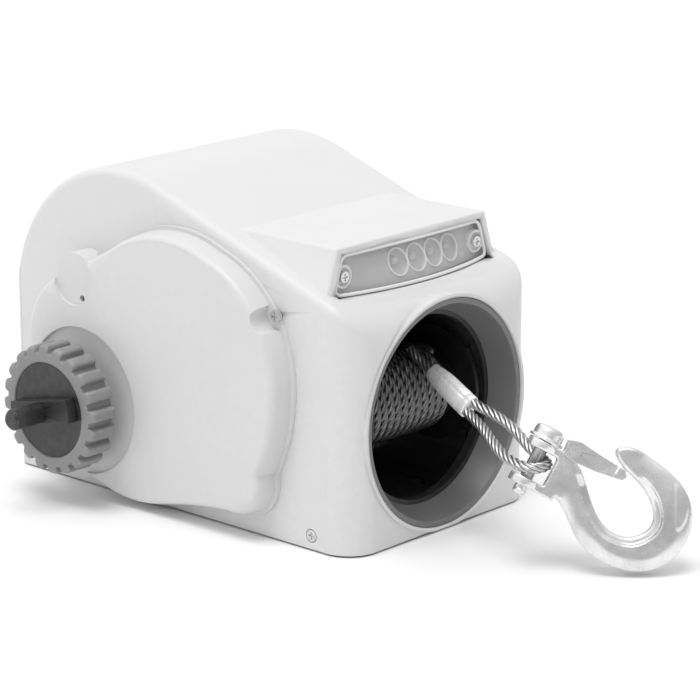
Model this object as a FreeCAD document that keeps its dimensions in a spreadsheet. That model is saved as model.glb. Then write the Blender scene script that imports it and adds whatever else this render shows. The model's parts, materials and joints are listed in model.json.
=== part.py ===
import FreeCAD, Part
import Sketcher
import math
import os

# Portable 12 V wire rope puller: a drum winch in a moulded housing, with a clutch knob, a front
# light, a round rope mouth and a clevis slip hook. Millimetres, +Z up. The mouth faces -Y, the
# gear cover and the knob are on -X. The origin is the middle of the four mounting holes, on the
# underside of the base plate.

V = FreeCAD.Vector
os.makedirs("parts", exist_ok=True)
doc = FreeCAD.newDocument("rope_puller")

DIMS = {
    # housing
    "front_y": -178,
    "housing_half": 97,
    "housing_low": 1.5,
    "wall": 3,
    "slope_deg": 19.36,
    "rear_arc": 111,
    "rear_arc_y": 222,
    "rear_arc_z": 128,
    "brow_arc": 36,
    "corner_front": 24,
    "corner_rear": 8,
    "edge_round": 6,
    "rear_split": 326,
    "rear_cover_top": 152,
    "seam": 0.3,
    # light hood
    "hood_top": 209.5,
    "hood_low": 168,
    "hood_half_top": 77.5,
    "hood_half_low": 90,
    "hood_front": 31,
    "hood_bow": 17,
    "hood_back": 140,
    "lens_edge": 5,
    "lens_thick": 3,
    "lamp_arc": 5.5,
    "post_x": 69,
    # mouth
    "mouth_z": 84.5,
    "bezel_arc": 81,
    "collar_arc": 84,
    "collar_out": 1.5,
    "throat_arc": 69,
    "throat_depth": 20,
    "guide_arc": 66,
    "guide_end": 27,
    # base and frame
    "base_start": 30,
    "base_len": 296,
    "base_half": 88,
    "base_thick": 5,
    "hole_arc": 4.5,
    "hole_gap_x": 110,
    "hole_gap_y": 210,
    "tab_high": 14,
    "frame_at": 60,
    "frame_thick": 4,
    "rod_arc": 5,
    # drum and rope
    "drum_y": 60,
    "drum_z": 84,
    "axle_arc": 8,
    "bush_arc": 12,
    "core_arc": 17,
    "flange_arc": 42,
    "drum_half": 54,
    "flange_thick": 3,
    "pack_arc": 31,
    "rope_dia": 7,
    "run_gap": 0.06,
    "free_gap": 0.3,
    # gear train
    "teeth_drum": 28,
    "teeth_one_small": 14,
    "teeth_one_big": 64,
    "teeth_two_small": 14,
    "teeth_two_big": 62,
    "teeth_crank_small": 24,
    "teeth_crank_big": 54,
    "teeth_motor": 12,
    "module_drum": 2.5,
    "module_one": 1.75,
    "module_two": 1.5,
    "module_motor": 1.25,
    "tilt_one": 8,
    "tilt_motor": 54.4,
    "crank_y": 242,
    "crank_z": 71,
    "gear_pin_arc": 5,
    # crank shaft, clutch and knob
    "shaft_arc": 6,
    "drive_arc": 7.5,
    "knob_back": 126,
    "knob_face": 150,
    "knob_arc": 41.5,
    "lug_arc": 47,
    "lug_width": 8.6,
    "lug_count": 20,
    "cap_arc": 34.2,
    "cap_sink": 1.2,
    "cap_thick": 4,
    "dog_len": 60,
    "dog_width": 17,
    "dog_high": 9,
    "dog_turn": 12,
    "drive_end": 185,
    "sleeve_arc": 10,
    # gear cover
    "cover_base": 100,
    "cover_face": 117,
    "cover_floor": 110.5,
    "dish_arc": 54,
    "dish_deep": 3.5,
    "boss_arc": 20,
    "pad_arc": 18,
    "pad_face": 114,
    "bite_arc": 10,
    # motor
    "motor_arc": 31,
    "motor_start": -60,
    "motor_len": 94,
    "motor_cap_len": 12,
    # hook and eye
    "ferrule_wide": 16.4,
    "ferrule_thick": 11.6,
    "hook_thick": 16,
    "ear_arc": 11,
    "pin_arc": 4.5,
    "latch_pin_arc": 2,
}

sheet = doc.addObject("Spreadsheet::Sheet", "dims")
for row, (alias, value) in enumerate(DIMS.items(), start=1):
    sheet.set("A%d" % row, alias)
    sheet.set("B%d" % row, str(value))
    sheet.setAlias("B%d" % row, alias)
doc.recompute()


def size(alias):
    return float(getattr(sheet, alias))


FRONT = size("front_y")
nodes = []


def keep(obj, label):
    """Names a finished sub-part; its label is its file's name."""
    obj.Label = label
    nodes.append(obj)
    return obj


def bind(obj, **expressions):
    """Ties properties to cells of the sheet; a bare number is set as it is."""
    for prop, value in expressions.items():
        if isinstance(value, str):
            obj.setExpression(prop, value)
        else:
            setattr(obj, prop, value)


TURNS = {
    "X": FreeCAD.Rotation(V(0, 1, 0), 90),
    "-X": FreeCAD.Rotation(V(0, 1, 0), -90),
    "Y": FreeCAD.Rotation(V(1, 0, 0), -90),
    "-Y": FreeCAD.Rotation(V(1, 0, 0), 90),
    "Z": FreeCAD.Rotation(),
}


def cylinder(name, radius, length, at, axis="X"):
    obj = doc.addObject("Part::Cylinder", name)
    bind(obj, Radius=radius, Height=length)
    obj.Placement = FreeCAD.Placement(V(*at), TURNS[axis])
    return obj


def cone(name, radius1, radius2, length, at, axis="X"):
    obj = doc.addObject("Part::Cone", name)
    bind(obj, Radius1=radius1, Radius2=radius2, Height=length)
    obj.Placement = FreeCAD.Placement(V(*at), TURNS[axis])
    return obj


def block(name, lengths, at):
    obj = doc.addObject("Part::Box", name)
    bind(obj, Length=lengths[0], Width=lengths[1], Height=lengths[2])
    obj.Placement = FreeCAD.Placement(V(*at), FreeCAD.Rotation())
    return obj


def fuse(name, shapes):
    obj = doc.addObject("Part::MultiFuse", name)
    obj.Shapes = shapes
    return obj


def group(name, shapes):
    """Separate solids that share one node."""
    obj = doc.addObject("Part::Compound", name)
    obj.Links = shapes
    return obj


def cut(name, base, tools):
    tool = tools[0] if len(tools) == 1 else fuse(name + "_tools", tools)
    obj = doc.addObject("Part::Cut", name)
    obj.Base = base
    obj.Tool = tool
    return obj


def common(name, base, tool):
    obj = doc.addObject("Part::Common", name)
    obj.Base = base
    obj.Tool = tool
    return obj


def arc3(a, b, c):
    return Part.Arc(V(*a, 0), V(*b, 0), V(*c, 0))


def line(a, b):
    return Part.LineSegment(V(*a, 0), V(*b, 0))


def outline(name, geometry, plane="YZ"):
    """A free sketch on a main plane: YZ draws (y, z), XZ draws (x, z), XY draws (x, y)."""
    sketch = doc.addObject("Sketcher::SketchObject", name)
    sketch.addGeometry(geometry, False)
    turn = {
        "YZ": FreeCAD.Rotation(V(1, 1, 1), 120),
        "XZ": FreeCAD.Rotation(V(1, 0, 0), 90),
        "XY": FreeCAD.Rotation(),
    }[plane]
    sketch.Placement = FreeCAD.Placement(V(), turn)
    return sketch


def polygon(points):
    return [line(a, b) for a, b in zip(points, points[1:] + points[:1])]


def extrude(name, source, direction, length, start=0.0):
    """A solid prism of a closed outline, from start along direction."""
    obj = doc.addObject("Part::Extrusion", name)
    obj.Base = source
    obj.DirMode = "Custom"
    obj.Dir = V(*direction)
    obj.Solid = True
    bind(obj, LengthFwd=length)
    obj.Placement = FreeCAD.Placement(V(*direction) * start, FreeCAD.Rotation())
    return obj


def fillet(name, base, radius, wanted):
    """Rounds the edges whose middle point passes the test."""
    doc.recompute()
    obj = doc.addObject("Part::Fillet", name)
    obj.Base = base
    found = []
    for i, edge in enumerate(base.Shape.Edges, start=1):
        middle = edge.valueAt((edge.FirstParameter + edge.LastParameter) / 2)
        if wanted(middle, edge):
            found.append((i, radius, radius))
    obj.Edges = found
    return obj


# Housing: side profile and plan rounded together, then hollowed


def tangent_profile(inset, low):
    """The side profile, moved inwards by inset: upright front, rounded brow, slope, rear arc."""
    tilt = math.radians(size("slope_deg"))
    big = size("rear_arc") - inset
    small = size("brow_arc") - inset
    cy = FRONT + size("rear_arc_y")
    cz = size("rear_arc_z")
    normal = (-math.sin(tilt), math.cos(tilt))
    reach = small * math.tan((math.pi / 2 - tilt) / 2)
    top = (cy + big * normal[0], cz + big * normal[1])
    y0 = FRONT + inset
    corner_z = top[1] - (top[0] - y0) * math.tan(tilt)
    brow_low = (y0, corner_z - reach)
    brow_high = (y0 + reach * math.cos(tilt), corner_z + reach * math.sin(tilt))
    half = math.pi - (math.pi / 2 - tilt) / 2
    brow_mid = (
        y0 + small + small * math.cos(half),
        brow_low[1] + small * math.sin(half),
    )
    rear = (cy + big, cz)
    rear_mid = (cy + big * math.cos(math.radians(45)), cz + big * math.sin(math.radians(45)))
    return [
        line((y0, low), brow_low),
        arc3(brow_low, brow_mid, brow_high),
        line(brow_high, top),
        arc3(top, rear_mid, rear),
        line(rear, (rear[0], low)),
        line((rear[0], low), (y0, low)),
    ]


def plan(inset):
    """The plan view of the housing, moved inwards by inset, with rounded upright corners.

    Its ends stand a hair outside the profile's, so that the round corners cross the upright
    faces instead of only touching them.
    """
    x = size("housing_half") - inset
    y0 = FRONT + inset - 0.08
    y1 = FRONT + size("rear_arc_y") + size("rear_arc") - inset + 0.08
    rf = size("corner_front") - inset
    rr = size("corner_rear") - inset
    bend = 1 - math.cos(math.radians(45))
    return [
        line((-x + rf, y0), (x - rf, y0)),
        arc3((x - rf, y0), (x - rf * bend, y0 + rf * bend), (x, y0 + rf)),
        line((x, y0 + rf), (x, y1 - rr)),
        arc3((x, y1 - rr), (x - rr * bend, y1 - rr * bend), (x - rr, y1)),
        line((x - rr, y1), (-x + rr, y1)),
        arc3((-x + rr, y1), (-x + rr * bend, y1 - rr * bend), (-x, y1 - rr)),
        line((-x, y1 - rr), (-x, y0 + rf)),
        arc3((-x, y0 + rf), (-x + rf * bend, y0 + rf * bend), (-x + rf, y0)),
    ]


def hull_of(name, inset, low):
    """Side profile through the width, kept inside the plan, with its top edges rounded."""
    side = extrude(
        name + "_side",
        outline(name + "_profile", tangent_profile(inset, low)),
        (1, 0, 0),
        2 * size("housing_half"),
        -size("housing_half"),
    )
    upright = extrude(name + "_plan", outline(name + "_plan_lines", plan(inset), "XY"), (0, 0, 1), 300)
    both = common(name + "_common", side, upright)
    rounded = fillet(
        name + "_rounded",
        both,
        size("edge_round") - min(inset, 2.5),
        lambda p, e: p.z > 135 and abs(p.x) > 60 and e.Length > 30,
    )
    return rounded


def hood_of(name, inset):
    """The light hood: a ruled solid from a straight-fronted top down to a bowed lower edge."""
    levels = []
    for level, half, bow in (
        (size("hood_low"), size("hood_half_low"), size("hood_bow")),
        (size("hood_top") - inset, size("hood_half_top"), 0.01),
    ):
        x = half - inset
        y = FRONT + size("hood_front") + inset
        y1 = FRONT + size("hood_back")
        sketch = outline(
            "%s_at_%d" % (name, level),
            [
                arc3((-x, y), (0, y - bow), (x, y)),
                line((x, y), (x, y1)),
                line((x, y1), (-x, y1)),
                line((-x, y1), (-x, y)),
            ],
            "XY",
        )
        sketch.Placement.Base = V(0, 0, level)
        levels.append(sketch)
    obj = doc.addObject("Part::Loft", name)
    obj.Sections = levels
    obj.Solid = True
    obj.Ruled = True
    return obj


WALL = size("wall")
MOUTH_Z = size("mouth_z")
outer = hull_of("outer", 0.0, size("housing_low"))
inner = hull_of("inner", WALL, size("housing_low") - 5)
hood = hood_of("hood", 0.0)
collar_len = 30.0
collar = common(
    "collar",
    cylinder("collar_round", "dims.collar_arc", collar_len, (0, FRONT - size("collar_out"), MOUTH_Z), "Y"),
    block("collar_keep", (200, 40, 200), (-100, FRONT - 5, size("housing_low"))),
)
skin = fuse("skin", [outer, hood, collar])
hollow = fuse("hollow", [inner, hood_of("hood_hollow", WALL)])


def lens_slab(name, front_gap, thick, edge):
    """A slab that follows the bowed front of the hood, front_gap behind it, inside the frame."""
    sections = []
    rise = size("hood_top") - size("hood_low")
    for level in (size("hood_low") + 7.5 + edge - 5, size("hood_top") - edge):
        share = (size("hood_top") - level) / rise
        x = size("hood_half_top") + (size("hood_half_low") - size("hood_half_top")) * share - edge - 1.5
        bow = max(size("hood_bow") * share, 0.01)
        y = FRONT + size("hood_front") + front_gap
        sketch = outline(
            "%s_at_%d" % (name, level),
            [
                arc3((-x, y), (0, y - bow), (x, y)),
                line((x, y), (x, y + thick)),
                arc3((x, y + thick), (0, y - bow + thick), (-x, y + thick)),
                line((-x, y + thick), (-x, y)),
            ],
            "XY",
        )
        sketch.Placement.Base = V(0, 0, level)
        sections.append(sketch)
    obj = doc.addObject("Part::Loft", name)
    obj.Sections = sections
    obj.Solid = True
    obj.Ruled = True
    return obj


# Gear cover outlines, drawn as (y, z)
COVER = [
    ((297, 100), (290, 137), (262, 161)),
    ((262, 161), (236, 174), (212, 187)),
    ((212, 187), (166, 204), (118, 196)),
    ((118, 196), (74, 168), (54, 116)),
    ((54, 116), (57, 84), (70, 50)),
    ((70, 50), (74, 28), (98, 19)),
    ((98, 19), (140, 14), (166, 8.5)),
    ((166, 8.5), (195, 5.5), (222, 10)),
    ((222, 10), (277, 44), (297, 100)),
]


def cover_lines(grow=0.0):
    """The closed outline of arcs; each point moves outwards by grow along its local normal."""
    points = [point for start, middle, _ in COVER for point in (start, middle)]
    moved = []
    for before, here, after in zip(points[-1:] + points[:-1], points, points[1:] + points[:1]):
        dy, dz = after[0] - before[0], after[1] - before[1]
        run = math.hypot(dy, dz)
        moved.append((FRONT + here[0] + grow * dz / run, here[1] - grow * dy / run))
    return [
        arc3(moved[k], moved[k + 1], moved[(k + 2) % len(moved)]) for k in range(0, len(moved), 2)
    ]


cover_hole = extrude(
    "cover_hole",
    outline("cover_hole_lines", cover_lines(-7)),
    (-1, 0, 0),
    10,
    size("housing_half") - 6,
)

mouth_hole = cylinder(
    "mouth_hole", "dims.bezel_arc + dims.seam", 40, (0, FRONT - 5, MOUTH_Z), "Y"
)

BASE_FIX = [(37, 11), (312, 11)]
SIDE = size("housing_half")
side_pockets = []
for k, (y, z) in enumerate(BASE_FIX):
    for side in (-1, 1):
        tag = "%d_%s" % (k, "left" if side < 0 else "right")
        side_pockets.append(
            cylinder("screw_pocket_" + tag, 5, 4, (side * SIDE - 2, FRONT + y, z), "X")
        )
        side_pockets.append(
            cylinder("screw_way_" + tag, 2.3, 14, (side * SIDE - 7, FRONT + y, z), "X")
        )

COVER_FIX = [(64.5, 162), (284, 84), (250, 30.5)]
COVER_SEAT = (100, 108, 108)
cover_ways = [
    cylinder("cover_way_%d" % k, 2.3, 16.5, (-SIDE - 6, FRONT + y, z), "X")
    for k, (y, z) in enumerate(COVER_FIX)
]
pillars = [
    cylinder("side_pillar_%d" % k, 6, 12, (-SIDE + 1, FRONT + y, z), "X")
    for k, (y, z) in enumerate(COVER_FIX)
]
split = size("rear_split")
rear_zone = block(
    "rear_zone", (220, 40, "dims.rear_cover_top"), (-110, FRONT + split, -1)
)
rear_keep = block(
    "rear_keep",
    (220, 40, "dims.rear_cover_top - dims.seam"),
    (-110, FRONT + split + size("seam"), -1),
)
lens_way = lens_slab("lens_way", -6, 14, 4.6)
shell = cut("shell", skin, [hollow])
walled = fuse("walled", [shell] + pillars)
keep(
    cut(
        "housing_cut",
        walled,
        [mouth_hole, lens_way, cover_hole, rear_zone] + side_pockets + cover_ways,
    ),
    "housing_shell",
)

REAR_Z = 42.0
INLET_X = 47.0
REMOTE_X = 12.0
BREAKER_X = -14.0
SWITCH_X = -40.0
REAR = FRONT + size("rear_arc_y") + size("rear_arc")
rear_holes = [
    cylinder("inlet_hole", 11.3, 20, (INLET_X, REAR - 12, REAR_Z), "Y"),
    cylinder("remote_hole", 8.3, 20, (REMOTE_X, REAR - 12, REAR_Z), "Y"),
    cylinder("breaker_hole", 6.3, 20, (BREAKER_X, REAR - 12, REAR_Z), "Y"),
    block("switch_hole", (14.6, 20, 21.2), (SWITCH_X - 7.3, REAR - 12, REAR_Z - 10.6)),
]
keep(cut("rear_cut", common("rear_part", shell, rear_keep), rear_holes), "rear_cover")

# Gear cover: a flange on the side wall, a raised drafted body and a dish round the knob
CRANK_Y = FRONT + size("crank_y")
CRANK_Z = size("crank_z")
cover_flange = extrude(
    "cover_flange", outline("flange_lines", cover_lines(4)), (-1, 0, 0), 3, size("housing_half")
)
cover_levels = []
for depth, grow in ((0, 1.5), (14.5, 0.0), (18.2, -1.3), (20, -4.0)):
    level = outline("cover_lines_%d" % (10 * depth), cover_lines(grow))
    level.Placement.Base = V(-SIDE - depth, 0, 0)
    cover_levels.append(level)
cover_round = doc.addObject("Part::Loft", "cover_round")
cover_round.Sections = cover_levels
cover_round.Solid = True
cover_round.Ruled = True
pad = cylinder(
    "cover_pad", "dims.pad_arc", size("pad_face") - SIDE, (-size("pad_face"), FRONT + 249, 160), "X"
)
pad_bite = cylinder(
    "pad_bite", "dims.pad_arc + 2", 5, (-size("cover_face") - 2, FRONT + 249, 160), "X"
)
pad_dot = cylinder("pad_dot", 2.4, 12, (-size("cover_face") - 2, FRONT + 242, 145.5), "X")
front_bite = cylinder(
    "front_bite", "dims.bite_arc", 20, (-COVER_SEAT[0] - 20, FRONT + COVER_FIX[0][0], COVER_FIX[0][1]), "X"
)
dish = cylinder("dish", "dims.dish_arc", 10, (-size("cover_face") + size("dish_deep") - 10, CRANK_Y, CRANK_Z), "X")
cover_solid = fuse(
    "cover_solid",
    [cut("cover_bitten", fuse("cover_raised", [cover_flange, cover_round]), [pad_bite, dish]), pad],
)
knob_boss = cylinder(
    "knob_boss", "dims.boss_arc", 24, (-size("cover_floor") - 20.5, CRANK_Y, CRANK_Z), "X"
)
cover_room = extrude(
    "cover_room",
    outline("hollow_lines", cover_lines(-3.5)),
    (-1, 0, 0),
    size("cover_floor") - SIDE + 3,
    SIDE - 3,
)
bite_cup = cylinder(
    "bite_cup", "dims.bite_arc + 2.5", 30, (-SIDE - 25, FRONT + COVER_FIX[0][0], COVER_FIX[0][1]), "X"
)
cover_hollow = cut("cover_hollow", cover_room, [bite_cup])
cover_pillars = [
    cylinder("cover_pillar_%d" % k, 6.5, 14, (-SIDE - 14, FRONT + y, z), "X")
    for k, (y, z) in enumerate(COVER_FIX[1:])
]
screw_holes = [
    cylinder("cover_screw_hole_%d" % k, 2.3, 30, (-SIDE - 25, FRONT + y, z), "X")
    for k, (y, z) in enumerate(COVER_FIX)
]
head_pockets = [
    cylinder("head_pocket_%d" % k, 5, 12, (-x - 12, FRONT + y, z), "X")
    for k, ((y, z), x) in enumerate(zip(COVER_FIX[1:], COVER_SEAT[1:]))
]
boss_bore = cylinder("boss_bore", 16, 30, (-size("cover_floor") - 28, CRANK_Y, CRANK_Z), "X")
shaft_bore = cylinder("shaft_bore", 10.4, 40, (-size("cover_floor") - 28, CRANK_Y, CRANK_Z), "X")
hollowed = cut("cover_hollowed", fuse("cover_with_boss", [cover_solid, knob_boss]), [cover_hollow])
boss_cup = cut("boss_cup", cylinder("boss_cup_out", 20, 3, (-size("cover_floor") - 3, CRANK_Y, CRANK_Z), "X"), [
    cylinder("boss_cup_in", 10.4, 5, (-size("cover_floor") - 4, CRANK_Y, CRANK_Z), "X")])
cover_walls = fuse("cover_walls", [hollowed] + cover_pillars)
bored = cut(
    "cover_bored", cover_walls, [boss_bore, shaft_bore, front_bite, pad_dot] + screw_holes + head_pockets
)
keep(fuse("cover_final", [bored, boss_cup]), "gear_cover")


def screw(name, at, axis, head_r, head_len, shank_r, shank_len):
    """A pan-head screw; its shank runs along the axis from the head's underside."""
    sign = {"X": V(1, 0, 0), "-X": V(-1, 0, 0), "Y": V(0, 1, 0), "-Y": V(0, -1, 0), "Z": V(0, 0, 1)}[axis]
    head_at = V(*at) - sign * head_len
    head = cylinder(name + "_head", head_r, head_len, tuple(head_at), axis)
    shank = cylinder(name + "_shank", shank_r, shank_len + 0.5, tuple(V(*at) - sign * 0.5), axis)
    slot_a = block(name + "_slot_a", (1.2, 1.2, 1.2), (0, 0, 0))
    slot_a.Placement = FreeCAD.Placement(head_at, TURNS[axis])
    bind(slot_a, Length=head_r * 1.3, Width=1.2, Height=1.3)
    slot_a.Placement = slot_a.Placement * FreeCAD.Placement(V(-head_r * 0.65, -0.6, -0.3), FreeCAD.Rotation())
    slot_b = block(name + "_slot_b", (1.2, head_r * 1.3, 1.3), (0, 0, 0))
    slot_b.Placement = FreeCAD.Placement(head_at, TURNS[axis]) * FreeCAD.Placement(
        V(-0.6, -head_r * 0.65, -0.3), FreeCAD.Rotation()
    )
    return cut(name, fuse(name + "_body", [head, shank]), [slot_a, slot_b])


keep(
    group(
        "cover_screw_set",
        [
            screw("cover_screw_%d" % k, (-x, FRONT + y, z), "X", 4.2, 3, 2, x - SIDE + 9)
            for k, ((y, z), x) in enumerate(zip(COVER_FIX, COVER_SEAT))
        ],
    ),
    "cover_screws",
)
keep(
    group(
        "housing_screw_set",
        [
            screw(
                "side_screw_%d_%s" % (k, axis.replace("-", "minus_")),
                (-x * (SIDE - 2), FRONT + y, z),
                axis,
                4.2,
                1.8,
                2,
                11,
            )
            for k, (y, z) in enumerate(BASE_FIX)
            for x, axis in ((1, "X"), (-1, "-X"))
        ],
    ),
    "housing_screws",
)

# Mouth: a grey funnel and a dark guide ring behind it
bezel_outer = fuse(
    "bezel_outer",
    [
        cylinder("bezel_rim", "dims.bezel_arc", 6, (0, FRONT - 0.5, MOUTH_Z), "Y"),
        cone(
            "bezel_cone",
            "dims.bezel_arc",
            "dims.throat_arc + 3",
            "dims.throat_depth - 5.5",
            (0, FRONT + 5.5, MOUTH_Z),
            "Y",
        ),
    ],
)
bezel_inner = fuse(
    "bezel_inner",
    [
        cone(
            "bezel_mouth",
            "dims.bezel_arc - 4",
            "dims.throat_arc",
            "dims.throat_depth + 0.5",
            (0, FRONT - 0.5, MOUTH_Z),
            "Y",
        ),
        cylinder("bezel_way", "dims.throat_arc", 10, (0, FRONT + size("throat_depth") - 1, MOUTH_Z), "Y"),
    ],
)
keep(cut("bezel_cut", bezel_outer, [bezel_inner]), "mouth_bezel")
guide_body = fuse(
    "guide_body",
    [
        cylinder(
            "guide_lip", "dims.throat_arc + 3", 1.5, (0, FRONT + size("throat_depth"), MOUTH_Z), "Y"
        ),
        cylinder(
            "guide_out",
            "dims.throat_arc - dims.seam",
            "dims.guide_end - dims.throat_depth",
            (0, FRONT + size("throat_depth"), MOUTH_Z),
            "Y",
        ),
    ],
)
guide_way = cylinder("guide_in", "dims.guide_arc", 20, (0, FRONT + size("throat_depth") - 5, MOUTH_Z), "Y")
keep(cut("guide_cut", guide_body, [guide_way]), "mouth_guide")

# Light: a clear lens, a reflector with two screw posts, four lamps and the screws
HOOD_Y = FRONT + size("hood_front")
LAMP_Z = 190.5
POST_Z = 188.5


def bowed(x, level=LAMP_Z):
    """The line behind which the lens lies, at x across the hood and level up."""
    share = (size("hood_top") - level) / (size("hood_top") - size("hood_low"))
    half = size("hood_half_top") + (size("hood_half_low") - size("hood_half_top")) * share
    half -= size("lens_edge") + 1.5
    bow = size("hood_bow") * share
    radius = (half * half + bow * bow) / (2 * bow)
    return HOOD_Y - bow + radius - math.sqrt(radius * radius - x * x)


LAMP_X = [11 + 18.5 * (k - 1.5) for k in range(4)]
POST_X = [-size("post_x"), size("post_x")]
LAMP_R = size("lamp_arc")
lens_holes = [cylinder("lens_hole_%d" % k, 5.4, 30, (x, HOOD_Y - 15, POST_Z), "Y") for k, x in enumerate(POST_X)]
keep(cut("lens_cut", lens_slab("lens", 2.0, size("lens_thick"), size("lens_edge")), lens_holes), "light_lens")
posts = [
    cylinder("lens_post_%d" % k, 5.0, 10.6, (x, bowed(x, POST_Z) + 3.0, POST_Z), "Y")
    for k, x in enumerate(POST_X)
]
tray_holes = [
    cylinder("lens_pilot_%d" % k, 2.1, 7.0, (x, bowed(x, POST_Z) + 2.0, POST_Z), "Y")
    for k, x in enumerate(POST_X)
]
tray_holes += [
    cylinder("lamp_hole_%d" % k, "dims.lamp_arc + 0.2", 30, (x, HOOD_Y - 5, LAMP_Z), "Y")
    for k, x in enumerate(LAMP_X)
]
tray = lens_slab("reflector", 12.5, 2.0, size("lens_edge"))
keep(cut("reflector_cut", fuse("reflector_posts", [tray] + posts), tray_holes), "light_reflector")
lamps = []
for k, x in enumerate(LAMP_X):
    y = bowed(x) + 5.6 + LAMP_R
    body = cylinder("lamp_body_%d" % k, "dims.lamp_arc", 15.0 - 5.6 - LAMP_R, (x, y, LAMP_Z), "Y")
    dome = doc.addObject("Part::Sphere", "lamp_dome_%d" % k)
    bind(dome, Radius="dims.lamp_arc")
    dome.Placement = FreeCAD.Placement(V(x, y, LAMP_Z), FreeCAD.Rotation())
    front_half = block("lamp_front_%d" % k, (20, 10.5, 20), (x - 10, y - 10, LAMP_Z - 10))
    lamps.append(fuse("lamp_%d" % k, [body, common("lamp_cap_%d" % k, dome, front_half)]))
keep(group("lamp_set", lamps), "led_lamps")
keep(
    group(
        "lens_screw_set",
        [
            screw("lens_screw_%d" % k, (x, bowed(x, POST_Z) + 3.0, POST_Z), "Y", 4.0, 1.1, 2, 5.5)
            for k, x in enumerate(POST_X)
        ],
    ),
    "lens_screws",
)

# Base plate with upturned tabs, side frames and tie rods
BASE_Y = FRONT + size("base_start")
BASE_T = size("base_thick")
plate = block(
    "plate", ("2 * dims.base_half", "dims.base_len", "dims.base_thick"), (-size("base_half"), BASE_Y, 0)
)
tabs = []
for k, (y, z) in enumerate(BASE_FIX):
    for side in (-1, 1):
        x = -size("base_half") if side < 0 else size("base_half") - 4
        tabs.append(
            block("tab_%d_%s" % (k, "l" if side < 0 else "r"), (4, 14, "dims.tab_high"), (x, FRONT + y - 7, BASE_T - 0.5))
        )
mount_holes = []
for sx in (-1, 1):
    for sy in (-1, 1):
        mount_holes.append(
            cylinder(
                "mount_hole_%d_%d" % (sx + 1, sy + 1),
                "dims.hole_arc",
                20,
                (sx * size("hole_gap_x") / 2, sy * size("hole_gap_y") / 2, -5),
                "Z",
            )
        )
tab_holes = [
    cylinder("tab_hole_%d" % k, 2.3, 200, (-100, FRONT + y, z), "X") for k, (y, z) in enumerate(BASE_FIX)
]
keep(cut("base_cut", fuse("base_body", [plate] + tabs), mount_holes + tab_holes), "base_plate")

DRUM_Y = FRONT + size("drum_y")
DRUM_Z = size("drum_z")
PITCH = {
    name: size("teeth_" + name) * size("module_" + mod) / 2
    for name, mod in (
        ("drum", "drum"),
        ("one_small", "drum"),
        ("one_big", "one"),
        ("two_small", "one"),
        ("two_big", "two"),
        ("crank_small", "two"),
        ("crank_big", "motor"),
        ("motor", "motor"),
    )
}


def meet(a, ra, b, rb):
    """The upper crossing of two circles in the (y, z) plane."""
    dy, dz = b[0] - a[0], b[1] - a[1]
    far = math.hypot(dy, dz)
    along = (ra * ra - rb * rb + far * far) / (2 * far)
    up = math.sqrt(ra * ra - along * along)
    return (a[0] + (along * dy - up * dz) / far, a[1] + (along * dz + up * dy) / far)


AT_DRUM = (DRUM_Y, DRUM_Z)
AT_CRANK = (CRANK_Y, CRANK_Z)
tilt = math.radians(size("tilt_one"))
reach_one = PITCH["drum"] + PITCH["one_small"]
AT_ONE = (DRUM_Y + reach_one * math.cos(tilt), DRUM_Z + reach_one * math.sin(tilt))
AT_TWO = meet(
    AT_ONE, PITCH["one_big"] + PITCH["two_small"], AT_CRANK, PITCH["two_big"] + PITCH["crank_small"]
)
tilt = math.radians(size("tilt_motor"))
reach_motor = PITCH["crank_big"] + PITCH["motor"]
AT_MOTOR = (CRANK_Y + reach_motor * math.cos(tilt), CRANK_Z + reach_motor * math.sin(tilt))

RODS = [(120, 22), (150, 158), (292, 162), (312, 22)]
FRAME = [(32, 5), (322, 5), (322, 110), (306, 172), (120, 172), (32, 126)]


def side_frame(name, x, holes):
    profile = outline(name + "_lines", polygon([(FRONT + y, z) for y, z in FRAME]))
    flat = extrude(name + "_plate", profile, (1, 0, 0), "dims.frame_thick", x)
    tools = [
        cylinder("%s_hole_%d" % (name, k), r, 20, (x - 8, y, z), "X") for k, (r, y, z) in enumerate(holes)
    ]
    return cut(name, flat, tools)


rod_holes = [(size("rod_arc") - 1.5, FRONT + y, z) for y, z in RODS]
FRAME_X = size("frame_at")
FT = size("frame_thick")
keep(
    side_frame(
        "frame_left_cut",
        -FRAME_X - FT,
        [
            (size("bush_arc"), *AT_DRUM),
            (size("gear_pin_arc"), *AT_ONE),
            (size("gear_pin_arc"), *AT_TWO),
            (size("shaft_arc") + size("run_gap"), *AT_CRANK),
            (9.0, *AT_MOTOR),
            (2.6, AT_MOTOR[0] - 20, AT_MOTOR[1]),
            (2.6, AT_MOTOR[0] + 20, AT_MOTOR[1]),
        ]
        + rod_holes,
    ),
    "frame_left",
)
keep(side_frame("frame_right_cut", FRAME_X, [(size("bush_arc"), *AT_DRUM)] + rod_holes), "frame_right")
keep(
    group(
        "rod_set",
        [
            fuse(
                "rod_%d" % k,
                [
                    cylinder("rod_mid_%d" % k, "dims.rod_arc", 2 * FRAME_X, (-FRAME_X, FRONT + y, z), "X"),
                    cylinder(
                        "rod_ends_%d" % k,
                        "dims.rod_arc - 1.5",
                        2 * (FRAME_X + FT),
                        (-FRAME_X - FT, FRONT + y, z),
                        "X",
                    ),
                ],
            )
            for k, (y, z) in enumerate(RODS)
        ],
    ),
    "tie_rods",
)
rod_nuts = []
for k, (y, z) in enumerate(RODS):
    for side in (-1, 1):
        start = -FRAME_X - FT - 3.0 if side < 0 else FRAME_X + FT
        prism = doc.addObject("Part::Prism", "rod_nut_%d_%d" % (k, side + 1))
        bind(prism, Polygon=6, Circumradius=6.0, Height=3.0)
        prism.Placement = FreeCAD.Placement(V(start, FRONT + y, z), TURNS["X"])
        rod_nuts.append(prism)
keep(group("rod_nut_set", rod_nuts), "rod_nuts")


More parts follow.
